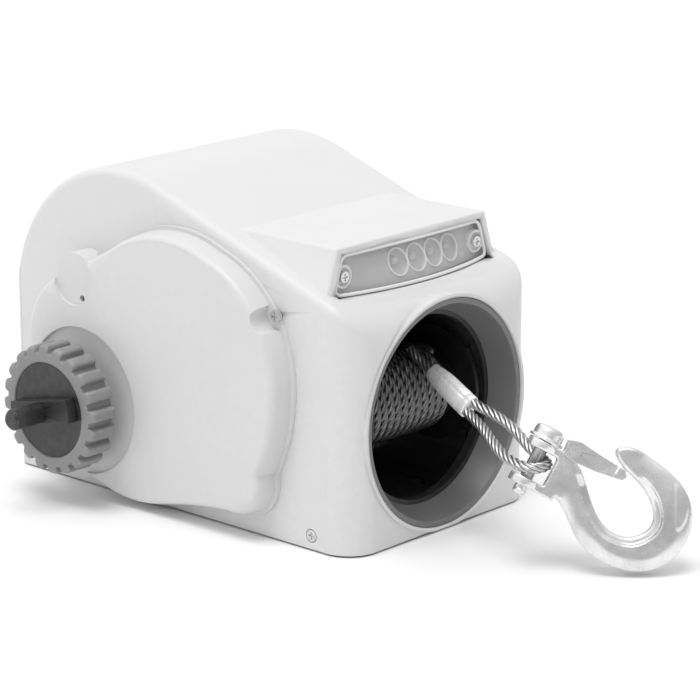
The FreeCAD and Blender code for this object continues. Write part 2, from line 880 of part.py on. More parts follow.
def bush(name, x, flange_x):
    body = fuse(
        name + "_body",
        [
            cylinder(name + "_tube", "dims.bush_arc", FT, (x, *AT_DRUM), "X"),
            cylinder(name + "_flange", "dims.bush_arc + 2", 1.2, (flange_x, *AT_DRUM), "X"),
        ],
    )
    return cut(name, body, [cylinder(name + "_bore", "dims.axle_arc + dims.run_gap", 20, (x - 8, *AT_DRUM), "X")])


keep(bush("bush_left_cut", -FRAME_X - FT, -FRAME_X - FT - 1.2), "axle_bush_left")
keep(bush("bush_right_cut", FRAME_X, FRAME_X + FT), "axle_bush_right")

# Drum, axle and wound rope
HALF = size("drum_half")
FLT = size("flange_thick")
spool = fuse(
    "spool",
    [
        cylinder("drum_core", "dims.core_arc", 2 * (HALF + FLT), (-HALF - FLT, *AT_DRUM), "X"),
        cylinder("drum_flange_left", "dims.flange_arc", FLT, (-HALF - FLT, *AT_DRUM), "X"),
        cylinder("drum_flange_right", "dims.flange_arc", FLT, (HALF, *AT_DRUM), "X"),
    ],
)
anchor = cylinder("rope_anchor_hole", 3.2, 12, (HALF - 4, DRUM_Y, DRUM_Z + size("core_arc") + 4), "X")
keep(
    cut("drum_cut", spool, [cylinder("drum_bore", "dims.axle_arc", 200, (-100, *AT_DRUM), "X"), anchor]),
    "drum",
)
AXLE_END = 82.5
keep(cylinder("axle", "dims.axle_arc", AXLE_END + 70.0, (-AXLE_END, *AT_DRUM), "X"), "drum_axle")
keep(
    cut(
        "clip_cut",
        cylinder("clip_round", "dims.axle_arc + 3", 1.4, (FRAME_X + FT + 1.6, *AT_DRUM), "X"),
        [
            cylinder("clip_bore", "dims.axle_arc", 4, (FRAME_X + FT, *AT_DRUM), "X"),
            block("clip_gap", (4, 6, 20), (FRAME_X + FT, DRUM_Y - 3, DRUM_Z - 20)),
        ],
    ),
    "axle_clip",
)
keep(
    cut(
        "pack_cut",
        cylinder("pack_round", "dims.pack_arc", 2 * HALF - 2, (-HALF + 1, *AT_DRUM), "X"),
        [cylinder("pack_bore", "dims.core_arc", 200, (-100, *AT_DRUM), "X")],
    ),
    "rope_winding",
)

# Gears: stub involute teeth, each flank three straight facets
PRESSURE = math.radians(25)


def involute(angle):
    return math.tan(angle) - angle


def gear_disc(teeth, module, phase, x0, x1, at, backlash=0.09):
    """A spur gear between two x planes, with a tooth centred at the phase angle in (y, z)."""
    pitch = teeth * module / 2
    base = pitch * math.cos(PRESSURE)
    points = []
    radii = [pitch - 1.12 * module, pitch - 0.42 * module, pitch + 0.25 * module, pitch + 0.8 * module]

    def half_angle(radius):
        lean = math.acos(base / max(radius, base * 1.0001))
        return math.pi / (2 * teeth) + involute(PRESSURE) - involute(lean) - backlash * module / pitch / 2

    for k in range(teeth):
        middle = phase + 2 * math.pi * k / teeth
        for sign, ordered in ((-1, radii), (1, radii[::-1])):
            for radius in ordered:
                angle = middle + sign * half_angle(radius)
                points.append(V(x0, at[0] + radius * math.cos(angle), at[1] + radius * math.sin(angle)))
    wire = Part.makePolygon(points + points[:1])
    return Part.Face(wire).extrude(V(x1 - x0, 0, 0))


def disc(radius, x0, x1, at):
    return Part.makeCylinder(radius, x1 - x0, V(x0, at[0], at[1]), V(1, 0, 0))


def bearing(a, b):
    return math.atan2(b[1] - a[1], b[0] - a[0])


def gap_phase(teeth, angle):
    """The phase that puts a tooth gap at the angle."""
    return angle + math.pi / teeth


def shaped(label, shape):
    obj = doc.addObject("Part::Feature", label)
    obj.Shape = shape.removeSplitter()
    obj.Placement = FreeCAD.Placement()
    return keep(obj, label)


def teeth(name):
    return int(size("teeth_" + name))


PIN = size("gear_pin_arc")
GAP = size("run_gap")
to_one = bearing(AT_DRUM, AT_ONE)
to_two = bearing(AT_ONE, AT_TWO)
to_crank = bearing(AT_TWO, AT_CRANK)
to_motor = bearing(AT_CRANK, AT_MOTOR)

drum_gear = gear_disc(teeth("drum"), size("module_drum"), to_one, -81, -69, AT_DRUM)
drum_gear = drum_gear.fuse(disc(14, -69.2, -66, AT_DRUM)).cut(disc(size("axle_arc"), -90, -60, AT_DRUM))
shaped("drum_gear", drum_gear)

small = gear_disc(
    teeth("one_small"), size("module_drum"), gap_phase(teeth("one_small"), to_one + math.pi), -83.6, -68, AT_ONE
)
big = gear_disc(teeth("one_big"), size("module_one"), to_two, -91.5, -83.5, AT_ONE)
shaped("gear_one", small.fuse(big).cut(disc(PIN + GAP, -100, -60, AT_ONE)))

small = gear_disc(
    teeth("two_small"), size("module_one"), gap_phase(teeth("two_small"), to_two + math.pi), -96.1, -82.5, AT_TWO
)
big = gear_disc(teeth("two_big"), size("module_two"), to_crank, -102, -96, AT_TWO)
shaped("gear_two", small.fuse(big).cut(disc(PIN + GAP, -110, -60, AT_TWO)))

small = gear_disc(
    teeth("crank_small"), size("module_two"), gap_phase(teeth("crank_small"), to_crank + math.pi),
    -103, -95, AT_CRANK,
)
neck = disc(12, -95.2, -90, AT_CRANK)
big = gear_disc(teeth("crank_big"), size("module_motor"), to_motor, -90.2, -84.2, AT_CRANK)
shaped("crank_gear", small.fuse([neck, big]).cut(disc(size("shaft_arc"), -110, -60, AT_CRANK)))

small = gear_disc(
    teeth("motor"), size("module_motor"), gap_phase(teeth("motor"), to_motor + math.pi), -91.5, -83, AT_MOTOR
)
shaped("motor_pinion", small.cut(disc(3.5, -95, -80, AT_MOTOR)))

keep(
    group(
        "gear_pin_set",
        [
            cylinder("gear_pin_one", "dims.gear_pin_arc", 35, (-FRAME_X - 35, *AT_ONE), "X"),
            cylinder("gear_pin_two", "dims.gear_pin_arc", 45, (-FRAME_X - 45, *AT_TWO), "X"),
        ],
    ),
    "gear_pins",
)
clips = []
for name, at, x in (("one", AT_ONE, -93.2), ("two", AT_TWO, -103.7)):
    ring = cylinder("pin_clip_round_" + name, PIN + 2.5, 1.2, (x, *at), "X")
    tools = [cylinder("pin_clip_bore_" + name, PIN, 4, (x - 1, *at), "X")]
    clips.append(cut("pin_clip_" + name, ring, tools))
keep(group("pin_clip_set", clips), "pin_clips")

# Crank shaft with its drive dog, clutch sleeve, spring and knob
DRIVE_END = size("drive_end")
KNOB_FACE = size("knob_face")
DOG_BACK = KNOB_FACE - size("cap_sink") + 0.5
tip = doc.addObject("Part::Cone", "shaft_tip")
bind(tip, Radius1="dims.drive_arc - 2", Radius2="dims.drive_arc", Height=2.0)
tip.Placement = FreeCAD.Placement(V(-DRIVE_END, *AT_CRANK), TURNS["X"])
keep(
    fuse(
        "shaft_fused",
        [
            cylinder("shaft_long", "dims.shaft_arc", DRIVE_END - 70, (-DRIVE_END + 12, *AT_CRANK), "X"),
            cylinder(
                "shaft_drive",
                "dims.drive_arc",
                DRIVE_END - DOG_BACK - size("dog_high") - 2,
                (-DRIVE_END + 2, *AT_CRANK),
                "X",
            ),
            tip,
        ],
    ),
    "crank_shaft",
)
bar = block("dog_bar", ("dims.dog_high", "dims.dog_len", "dims.dog_width"), (0, 0, 0))
bar.Placement = FreeCAD.Placement(
    V(-DOG_BACK - size("dog_high"), *AT_CRANK), FreeCAD.Rotation(V(1, 0, 0), -size("dog_turn"))
) * FreeCAD.Placement(V(0, -size("dog_len") / 2, -size("dog_width") / 2), FreeCAD.Rotation())
bar_ends = cylinder("dog_round", size("dog_len") / 2, "dims.dog_high", (-DOG_BACK - size("dog_high"), *AT_CRANK), "X")
keep(
    cut(
        "dog_cut",
        common("dog_shape", bar, bar_ends),
        [cylinder("dog_bore", "dims.shaft_arc", 40, (-DRIVE_END + 5, *AT_CRANK), "X")],
    ),
    "crank_dog",
)
SLEEVE_OUT = 138.0
keep(
    cut(
        "sleeve_cut",
        fuse(
            "sleeve_body",
            [
                cylinder("sleeve_tube", "dims.sleeve_arc", SLEEVE_OUT - 104.5, (-SLEEVE_OUT, *AT_CRANK), "X"),
                cylinder("sleeve_flange", 14, 3, (-135, *AT_CRANK), "X"),
            ],
        ),
        [cylinder("sleeve_bore", "dims.shaft_arc + dims.run_gap", 60, (-150, *AT_CRANK), "X")],
    ),
    "clutch_sleeve",
)


def coil_spring(name, radius, wire, pitch, rings, at, turn):
    """A round-wire compression spring of tilted half rings that meet end to end."""
    lean = math.degrees(math.asin(pitch / math.hypot(4 * radius, pitch)))
    parts = []
    for k in range(rings):
        ring = doc.addObject("Part::Torus", "%s_ring_%d" % (name, k))
        bind(ring, Radius1=math.hypot(radius, pitch / 4), Radius2=wire, Angle3=180)
        half_turn = FreeCAD.Rotation(V(0, 0, 1), 180 * (k % 2))
        tilted = FreeCAD.Rotation(V(0, 1, 0), lean * (-1) ** k) * half_turn
        ring.Placement = FreeCAD.Placement(V(*at), turn) * FreeCAD.Placement(
            V(0, 0, (k + 0.5) * pitch / 2), tilted
        )
        parts.append(ring)
    return fuse(name + "_coil", parts)


keep(
    coil_spring("clutch", 12.0, 0.9, 3.6, 8, (-130.6, *AT_CRANK), TURNS["X"]),
    "clutch_spring",
)

KNOB_BACK = size("knob_back")
knob = doc.addObject("PartDesign::Body", "knob_body")
doc.recompute()


def origin_plane(body, role):
    return next(f for f in body.Origin.OriginFeatures if f.Role == role)


def body_sketch(body, name, height, geometry, radii):
    """A sketch on the body's XY plane at a height; radii name constraints tied to the sheet."""
    sketch = body.newObject("Sketcher::SketchObject", name)
    sketch.AttachmentSupport = [(origin_plane(body, "XY_Plane"), "")]
    sketch.MapMode = "FlatFace"
    sketch.AttachmentOffset = FreeCAD.Placement(V(0, 0, height), FreeCAD.Rotation())
    for index, item in enumerate(geometry):
        sketch.addGeometry(item, False)
        if index in radii:
            number = sketch.addConstraint(Sketcher.Constraint("Radius", index, item.Radius))
            sketch.renameConstraint(number, "radius_%d" % index)
            sketch.setExpression("Constraints.radius_%d" % index, radii[index])
    return sketch


def pad_up(body, name, sketch, length):
    pad_obj = body.newObject("PartDesign::Pad", name)
    pad_obj.Profile = sketch
    bind(pad_obj, Length=length)
    sketch.Visibility = False
    return pad_obj


def ring_circle(radius):
    return Part.Circle(V(), V(0, 0, 1), radius)


web = body_sketch(
    knob,
    "knob_web_lines",
    0,
    [ring_circle(size("knob_arc")), ring_circle(size("boss_arc") + size("free_gap"))],
    {0: "dims.knob_arc", 1: "dims.boss_arc + dims.free_gap"},
)
pad_up(knob, "knob_web", web, 3.0)
rim = body_sketch(
    knob,
    "knob_rim_lines",
    3.0,
    [ring_circle(size("knob_arc")), ring_circle(size("cap_arc") + 0.2)],
    {0: "dims.knob_arc", 1: "dims.cap_arc + 0.2"},
)
pad_up(knob, "knob_rim", rim, "dims.knob_face - dims.knob_back - 3")
LUG = size("lug_width") / 2
LUG_TOP = size("lug_arc")
LUG_LOW = size("knob_arc") - 1.0
CORNER = 2.4
lug = body_sketch(
    knob,
    "knob_lug_lines",
    1.0,
    [
        line((-LUG, LUG_LOW), (LUG, LUG_LOW)),
        line((LUG, LUG_LOW), (LUG, LUG_TOP - CORNER)),
        arc3(
            (LUG, LUG_TOP - CORNER),
            (LUG - CORNER * 0.293, LUG_TOP - CORNER * 0.293),
            (LUG - CORNER, LUG_TOP),
        ),
        line((LUG - CORNER, LUG_TOP), (-LUG + CORNER, LUG_TOP)),
        arc3(
            (-LUG + CORNER, LUG_TOP),
            (-LUG + CORNER * 0.293, LUG_TOP - CORNER * 0.293),
            (-LUG, LUG_TOP - CORNER),
        ),
        line((-LUG, LUG_TOP - CORNER), (-LUG, LUG_LOW)),
    ],
    {},
)
lug_pad = pad_up(knob, "knob_lug", lug, "dims.knob_face - dims.knob_back - 2.5")
doc.recompute()
pattern = knob.newObject("PartDesign::PolarPattern", "knob_lugs")
pattern.Originals = [lug_pad]
pattern.Axis = (lug, ["N_Axis"])
pattern.Angle = 360
pattern.Occurrences = int(size("lug_count"))
knob.Tip = pattern
doc.recompute()
knob.Placement = FreeCAD.Placement(V(-KNOB_BACK, *AT_CRANK), TURNS["-X"])
keep(knob, "knob_ring")
CAP_FACE = KNOB_FACE - size("cap_sink")
keep(
    cut(
        "cap_cut",
        fuse(
            "cap_body",
            [
                cylinder("cap_disc", "dims.cap_arc", "dims.cap_thick", (-CAP_FACE, *AT_CRANK), "X"),
                cut(
                    "cap_skirt",
                    cylinder("cap_skirt_out", 30, 15, (-CAP_FACE, *AT_CRANK), "X"),
                    [cylinder("cap_skirt_in", 27.5, 30, (-CAP_FACE - 5, *AT_CRANK), "X")],
                ),
            ],
        ),
        [cylinder("cap_bore", "dims.shaft_arc + 0.5", 40, (-160, *AT_CRANK), "X")],
    ),
    "knob_cap",
)

# Motor
MOTOR_X = size("motor_start")
MOTOR_L = size("motor_len")
can = fuse(
    "can_body",
    [
        cylinder("can_round", "dims.motor_arc", MOTOR_L, (MOTOR_X, *AT_MOTOR), "X"),
        cylinder("can_nose", 8.7, 6.5, (MOTOR_X - 6.5, *AT_MOTOR), "X"),
    ],
)
keep(
    cut(
        "can_cut",
        can,
        [
            cylinder("can_inside", "dims.motor_arc - 2.5", MOTOR_L, (MOTOR_X + 3, *AT_MOTOR), "X"),
            cylinder("can_bore", 3.5 + GAP, 30, (MOTOR_X - 10, *AT_MOTOR), "X"),
            cylinder("can_screw_a", 2.1, 20, (MOTOR_X - 5, AT_MOTOR[0] - 20, AT_MOTOR[1]), "X"),
            cylinder("can_screw_b", 2.1, 20, (MOTOR_X - 5, AT_MOTOR[0] + 20, AT_MOTOR[1]), "X"),
        ],
    ),
    "motor_can",
)
CAP_X = MOTOR_X + MOTOR_L
keep(
    fuse(
        "motor_cap_body",
        [
            cylinder("motor_cap_flange", "dims.motor_arc", "dims.motor_cap_len - 4", (CAP_X, *AT_MOTOR), "X"),
            cylinder("motor_cap_step", "dims.motor_arc - 8", "dims.motor_cap_len", (CAP_X, *AT_MOTOR), "X"),
        ],
    ),
    "motor_end_cap",
)
keep(
    cut(
        "magnet_cut",
        cylinder("magnet_out", "dims.motor_arc - 2.8", 52, (MOTOR_X + 16, *AT_MOTOR), "X"),
        [
            cylinder("magnet_in", "dims.motor_arc - 8", 90, (MOTOR_X, *AT_MOTOR), "X"),
            block("magnet_gap", (90, 80, 14), (MOTOR_X, AT_MOTOR[0] - 40, AT_MOTOR[1] - 7)),
        ],
    ),
    "motor_magnets",
)
keep(cylinder("motor_shaft_round", 3.5, 92 + CAP_X - 1, (-92, *AT_MOTOR), "X"), "motor_shaft")
keep(
    cut(
        "armature_cut",
        fuse(
            "armature_body",
            [
                cylinder("armature_core", "dims.motor_arc - 9", 50, (MOTOR_X + 17, *AT_MOTOR), "X"),
                cylinder("commutator", 10, 14, (MOTOR_X + 67, *AT_MOTOR), "X"),
            ],
        ),
        [cylinder("armature_bore", 3.5, 100, (MOTOR_X + 5, *AT_MOTOR), "X")],
    ),
    "motor_armature",
)
keep(
    group(
        "motor_screw_set",
        [
            screw("motor_screw_%d" % k, (-FRAME_X - FT, AT_MOTOR[0] + dy, AT_MOTOR[1]), "X", 4, 2.4, 2, 10)
            for k, dy in enumerate((-20, 20))
        ],
    ),
    "motor_screws",
)

# Rear panel: power inlet, remote socket, breaker and light switch


def socket(name, x, flange_r, body_r, depth, pins):
    body = fuse(
        name + "_body",
        [
            cylinder(name + "_flange", flange_r, 3, (x, REAR, REAR_Z), "Y"),
            cylinder(name + "_barrel", body_r, depth + 0.5, (x, REAR - depth, REAR_Z), "Y"),
        ],
    )
    well = cylinder(name + "_well", body_r - 3, 12, (x, REAR - 7, REAR_Z), "Y")
    hollow_body = cut(name + "_hollow", body, [well])
    contacts = [
        cylinder("%s_contact_%d" % (name, k), 1.5, 4.5, (x + dx, REAR - 8, REAR_Z + dz), "Y")
        for k, (dx, dz) in enumerate(pins)
    ]
    return fuse(name, [hollow_body] + contacts)


keep(socket("inlet", INLET_X, 14, 11, 22, [(-3.5, 0), (3.5, 0)]), "power_inlet")
keep(socket("remote", REMOTE_X, 11, 8, 18, [(-2, -1.5), (2, -1.5), (0, 2.2)]), "remote_socket")
keep(
    cut(
        "breaker_body_cut",
        fuse(
            "breaker_body_parts",
            [
                cylinder("breaker_collar", 9, 2.5, (BREAKER_X, REAR, REAR_Z), "Y"),
                cylinder("breaker_barrel", 6, 12, (BREAKER_X, REAR - 11.5, REAR_Z), "Y"),
                block("breaker_case", (15, 10, 28), (BREAKER_X - 7.5, REAR - 21, REAR_Z - 14)),
            ],
        ),
        [cylinder("breaker_way", 4.35, 18, (BREAKER_X, REAR - 12, REAR_Z), "Y")],
    ),
    "breaker_body",
)
keep(cylinder("breaker_push", 4.0, 12, (BREAKER_X, REAR - 8, REAR_Z), "Y"), "breaker_button")
frame_out = block("switch_frame_out", (18, 1.5, 24), (SWITCH_X - 9, REAR, REAR_Z - 12))
frame_body = block("switch_case", (14, 15, 20.6), (SWITCH_X - 7, REAR - 15, REAR_Z - 10.3))
frame_well = block("switch_well", (11, 8, 18.4), (SWITCH_X - 5.5, REAR - 6, REAR_Z - 9.2))
ROCKER_AXIS = REAR - 2.0
frame_bore = cylinder("switch_bore", 1.56, 13.2, (SWITCH_X - 6.6, ROCKER_AXIS, REAR_Z), "X")
keep(
    cut("switch_frame_cut", fuse("switch_frame_parts", [frame_out, frame_body]), [frame_well, frame_bore]),
    "switch_frame",
)
ROCKER_Y = REAR - 1.0
rocker = outline(
    "rocker_lines",
    [
        line((ROCKER_Y - 3, REAR_Z - 3), (ROCKER_Y + 2.6, REAR_Z - 7.0)),
        arc3((ROCKER_Y + 2.6, REAR_Z - 7.0), (ROCKER_Y + 1.9, REAR_Z), (ROCKER_Y + 4.8, REAR_Z + 6.4)),
        line((ROCKER_Y + 4.8, REAR_Z + 6.4), (ROCKER_Y - 3, REAR_Z + 3)),
        line((ROCKER_Y - 3, REAR_Z + 3), (ROCKER_Y - 3, REAR_Z - 3)),
    ],
)
rocker_body = extrude("rocker", rocker, (1, 0, 0), 10, SWITCH_X - 5)
trunnions = cylinder("rocker_trunnions", 1.5, 12.6, (SWITCH_X - 6.3, ROCKER_AXIS, REAR_Z), "X")
keep(fuse("rocker_fused", [rocker_body, trunnions]), "light_switch")


def rounded_path(points):
    """Straight runs joined by tangent arcs, each as large as its two runs allow."""
    edges = []
    radii = []
    start = V(*points[0])
    for a, b, c in zip(points, points[1:], points[2:]):
        a, b, c = V(*a), V(*b), V(*c)
        before = (a - b).normalize()
        after = (c - b).normalize()
        turn = math.pi - before.getAngle(after)
        shorter = min((a - b).Length, (c - b).Length)
        radius = 0.45 * shorter / math.tan(turn / 2)
        radii.append(round(radius, 1))
        enter = b + before * (0.45 * shorter)
        leave = b + after * (0.45 * shorter)
        centre_way = (before + after).normalize()
        middle = b + centre_way * (radius / math.cos(turn / 2) - radius)
        edges.append(Part.LineSegment(start, enter).toShape())
        edges.append(Part.Arc(enter, middle, leave).toShape())
        start = leave
    edges.append(Part.LineSegment(start, V(*points[-1])).toShape())
    return Part.Wire(edges), radii


def tube(points, radius):
    """A round tube along the rounded path."""
    path, radii = rounded_path(points)
    first = (V(*points[1]) - V(*points[0])).normalize()
    profile = Part.Wire(Part.makeCircle(radius, V(*points[0]), first))
    solid = path.makePipeShell([profile], True, False)
    expected = math.pi * radius * radius * path.Length
    print("tube length %.1f radii %s volume share %.4f" % (path.Length, radii, solid.Volume / expected))
    return solid


def tube_node(label, solids):
    obj = doc.addObject("Part::Feature", label)
    obj.Shape = solids[0] if len(solids) == 1 else Part.makeCompound(solids)
    return keep(obj, label)


lead_end = REAR - 22
lead_y = AT_MOTOR[0]
tube_node(
    "motor_leads",
    [
        tube(
            [
                (x, lead_y, AT_MOTOR[1] - size("motor_arc") + 0.2),
                (x, lead_y, REAR_Z),
                (x, lead_end, REAR_Z),
            ],
            1.8,
        )
        for x in (INLET_X - 3.5, INLET_X + 0.6)
    ],
)
tube_node(
    "lamp_lead",
    [
        tube(
            [
                (-40, FRONT + 41, 191),
                (-40, FRONT + 80, 188),
                (-40, FRONT + 132, 199),
                (-40, FRONT + 190, 214),
                (-40, FRONT + 245, 214),
                (-40, FRONT + 292, 188),
                (-40, FRONT + 318, 145),
                (-40, FRONT + 325, 96),
                (-40, FRONT + 325, REAR_Z + 10),
            ],
            1.6,
        )
    ],
)

# Rope end: tail, ferrule, eye, thimble, then the clevis hook. The hook's own frame has its
# origin at the clevis pin, X along the pin towards its head, Y up the shank, Z across the flat.
PIN_AT = V(-17.6, FRONT - 94.2, 75.9)
PIN_WAY = V(0.492, -0.191, 0.85).normalize()
FACE_WAY = V(-0.715, -0.646, 0.269).normalize()
UP_WAY = FACE_WAY.cross(PIN_WAY).normalize()
FACE_WAY = PIN_WAY.cross(UP_WAY).normalize()
HOOK = FreeCAD.Placement(PIN_AT, FreeCAD.Rotation(PIN_WAY, UP_WAY, FACE_WAY, "ZXY"))

FERRULE_A = V(11.5, FRONT + 22.5, 107.8)
FERRULE_B = V(1.3, FRONT - 20.5, 91.8)
ROPE_HALF = size("rope_dia") / 2
along = (FERRULE_B - FERRULE_A).normalize()


def drum_tangent(point):
    """The point over the drum where a straight rope from the ferrule lands on the winding."""
    radius = size("pack_arc") + ROPE_HALF + size("free_gap")
    dy, dz = point.y - DRUM_Y, point.z - DRUM_Z
    far = math.hypot(dy, dz)
    angle = math.atan2(dz, dy) - math.acos(radius / far)
    y = DRUM_Y + radius * math.cos(angle)
    z = DRUM_Z + radius * math.sin(angle)
    run = math.hypot(y - point.y, z - point.z)
    return V(point.x - along.x / math.hypot(along.y, along.z) * run, y, z)


ROPE_EXIT = drum_tangent(FERRULE_A)
tube_node("rope_tail", [tube([tuple(ROPE_EXIT), tuple(FERRULE_A)], ROPE_HALF)])
print("rope exit", ROPE_EXIT)

# Ferrule: a long oval sleeve pressed on the rope
side_way = (PIN_WAY - along * PIN_WAY.dot(along)).normalize()
thick_way = along.cross(side_way)
oval = doc.addObject("Part::Ellipse", "ferrule_oval")
bind(oval, MajorRadius="dims.ferrule_wide / 2", MinorRadius="dims.ferrule_thick / 2")
ferrule = doc.addObject("Part::Extrusion", "ferrule_solid")
ferrule.Base = oval
ferrule.DirMode = "Custom"
ferrule.Dir = V(0, 0, 1)
ferrule.Solid = True
ferrule.LengthFwd = (FERRULE_B - FERRULE_A).Length
ferrule.Placement = FreeCAD.Placement(FERRULE_A, FreeCAD.Rotation(side_way, thick_way, along, "ZXY"))
keep(ferrule, "ferrule")

# The eye leaves the ferrule, goes round the clevis pin from the front to the back, and returns.
# Its points are (x along the pin, distance from the pin towards the ferrule, offset to the front).
near = HOOK.inverse().multVec(FERRULE_B)
reach_eye = math.hypot(near.y, near.z)
pull = (near.y / reach_eye, near.z / reach_eye)
LEG = ROPE_HALF + 0.15
ROUND = 8.3
eye_route = [
    (1.0, 0.70 * reach_eye, 3.2),
    (-6.0, 0.43 * reach_eye, 6.8),
    (-10.2, 0.18 * reach_eye, 8.6),
    (-8.8, -ROUND, ROUND),
    (1.0, -ROUND, -ROUND),
    (2.2, 0.18 * reach_eye, -8.6),
    (9.5, 0.43 * reach_eye, -6.8),
    (12.6, 0.70 * reach_eye, -3.2),
]
eye_points = [tuple(FERRULE_B - side_way * LEG)]
for x, far, front in eye_route:
    y = far * pull[0] - front * pull[1]
    z = far * pull[1] + front * pull[0]
    eye_points.append(tuple(HOOK.multVec(V(x, y, z))))
eye_points.append(tuple(FERRULE_B + side_way * LEG))
tube_node("rope_eye", [tube(eye_points, ROPE_HALF)])

# Hook: a forged J with a two-eared clevis, drawn in its own frame and then placed
T = size("hook_thick")
CLEVIS = -4.0
J = [
    (9, -12.6),
    (8, -28),
    (-2, -39.5),
    (-12, -50),
    (-19.5, -65),
    (-16, -81),
    (-2.5, -88.4),
    (10.5, -80),
    (18.5, -64),
    (23.5, -50),
    (30, -44),
    (35.5, -50),
    (36.5, -63),
    (33.5, -83),
    (21.5, -105),
    (-3, -114.2),
    (-29.3, -103.3),
    (-40.2, -77),
    (-34, -48),
    (-19, -27),
    (-17, -12.6),
]
j_curve = Part.BSplineCurve()
j_curve.interpolate([V(x, y, 0) for x, y in J])
hook = doc.addObject("PartDesign::Body", "hook_body_solid")
doc.recompute()
j_lines = body_sketch(hook, "hook_lines", -T / 2, [j_curve, line(J[-1], J[0])], {})
j_pad = pad_up(hook, "hook_pad", j_lines, "dims.hook_thick")
doc.recompute()
soft = hook.newObject("PartDesign::Fillet", "hook_soft")
names = []
for i, edge in enumerate(j_pad.Shape.Edges, start=1):
    middle = edge.valueAt((edge.FirstParameter + edge.LastParameter) / 2)
    if abs(abs(middle.z) - T / 2) < 0.01 and middle.y < -13.1:
        names.append("Edge%d" % i)
soft.Base = (j_pad, names)
soft.Radius = 2.4
hook.Tip = soft
doc.recompute()
ears = []
for k, x in enumerate((CLEVIS - 16.5, CLEVIS + 10.5)):
    ears.append(cylinder("ear_round_%d" % k, "dims.ear_arc", 6, (x, 0, 0), "X"))
    ears.append(block("ear_arm_%d" % k, (6, 16, "dims.hook_thick"), (x, -16, -T / 2)))
yoke = block("yoke", (33, 8.6, "dims.hook_thick"), (CLEVIS - 16.5, -22, -T / 2))
LATCH_X = 16.0
LATCH_Y = -20.0
latch_boss = cylinder("latch_boss", 5, 8, (LATCH_X, LATCH_Y, -4), "Z")
boss_arm = block("latch_boss_arm", (10, 10, 8), (LATCH_X - 10, LATCH_Y - 5, -4))
ear_bore = cylinder("ear_bore", "dims.pin_arc + 0.1", 60, (-34, 0, 0), "X")
latch_bore = cylinder("latch_bore", "dims.latch_pin_arc + 0.1", 30, (LATCH_X, LATCH_Y, -15), "Z")
clevis = cut(
    "clevis_cut",
    fuse("clevis_parts", [hook, yoke, latch_boss, boss_arm] + ears),
    [ear_bore, latch_bore],
)
clevis.Placement = HOOK
keep(clevis, "hook_body")

pin_head = fuse(
    "clevis_pin_fused",
    [
        cylinder("clevis_pin_rod", "dims.pin_arc", 39.5, (CLEVIS - 22.5, 0, 0), "X"),
        cylinder("clevis_pin_collar", 10.6, 1.8, (CLEVIS + 16.9, 0, 0), "X"),
        cylinder("clevis_pin_head", 9.2, 8, (CLEVIS + 18, 0, 0), "X"),
    ],
)
pin_cut = cut(
    "clevis_pin_cut", pin_head, [cylinder("cotter_way", 1.4, 20, (CLEVIS - 19.6, 0, -10), "Z")]
)
pin_cut.Placement = HOOK
keep(pin_cut, "clevis_pin")
cotter_ring = doc.addObject("Part::Torus", "cotter_ring")
bind(cotter_ring, Radius1=3.0, Radius2=1.1)
cotter_ring.Placement = FreeCAD.Placement(V(CLEVIS - 19.6, 0, 9.5), TURNS["X"])
cotter = fuse("cotter_parts", [cylinder("cotter_legs", 1.2, 15, (CLEVIS - 19.6, 0, -8.5), "Z"), cotter_ring])
cotter.Placement = HOOK
keep(cotter, "cotter_pin")

# Latch: a bent channel, open outwards, whose flanges straddle the hook at the latch pin
LATCH = [
    (LATCH_X + 5, LATCH_Y + 6.5),
    (LATCH_X + 7.4, LATCH_Y - 1),
    (21.6, -38),
    (20.4, -56),
    (17, -59),
    (13.6, -57),
    (10.5, -38),
    (9.5, -24),
    (LATCH_X - 5, LATCH_Y + 6),
]
TIP_GAP = [(0, LATCH_Y + 12), (0, -38.5), (12.9, -38.5), (15.4, -52), (30, -52), (30, LATCH_Y + 12)]
latch_out = extrude("latch_out", outline("latch_lines", polygon(LATCH), "XY"), (0, 0, 1), T + 4.4, -T / 2 - 2.2)
latch_in = extrude("latch_in", outline("latch_gap_lines", polygon(TIP_GAP), "XY"), (0, 0, 1), T + 1.2, -T / 2 - 0.6)
latch_ends = [
    block("latch_end_%d" % k, (30, 12, 6), (5, -62, z)) for k, z in enumerate((T / 2 - 2.5, -T / 2 - 3.5))
]
latch = cut(
    "latch_cut",
    latch_out,
    [latch_in, cylinder("latch_eye", "dims.latch_pin_arc + 0.4", 30, (LATCH_X, LATCH_Y, -15), "Z")] + latch_ends,
)
latch.Placement = HOOK
keep(latch, "hook_latch")
latch_pin = fuse(
    "latch_pin_parts",
    [
        cylinder("latch_pin_rod", "dims.latch_pin_arc", T + 6, (LATCH_X, LATCH_Y, -T / 2 - 3), "Z"),
        cylinder("latch_pin_head", 4, 1.4, (LATCH_X, LATCH_Y, T / 2 + 2.6), "Z"),
        cylinder("latch_pin_tail", 3.4, 1.4, (LATCH_X, LATCH_Y, -T / 2 - 4), "Z"),
    ],
)
latch_pin.Placement = HOOK
keep(latch_pin, "latch_pin")
latch_spring = coil_spring("latch", 2.95, 0.45, 1.2, 4, (LATCH_X, LATCH_Y, 4.9), FreeCAD.Rotation())
latch_spring.Placement = HOOK
keep(latch_spring, "latch_spring")

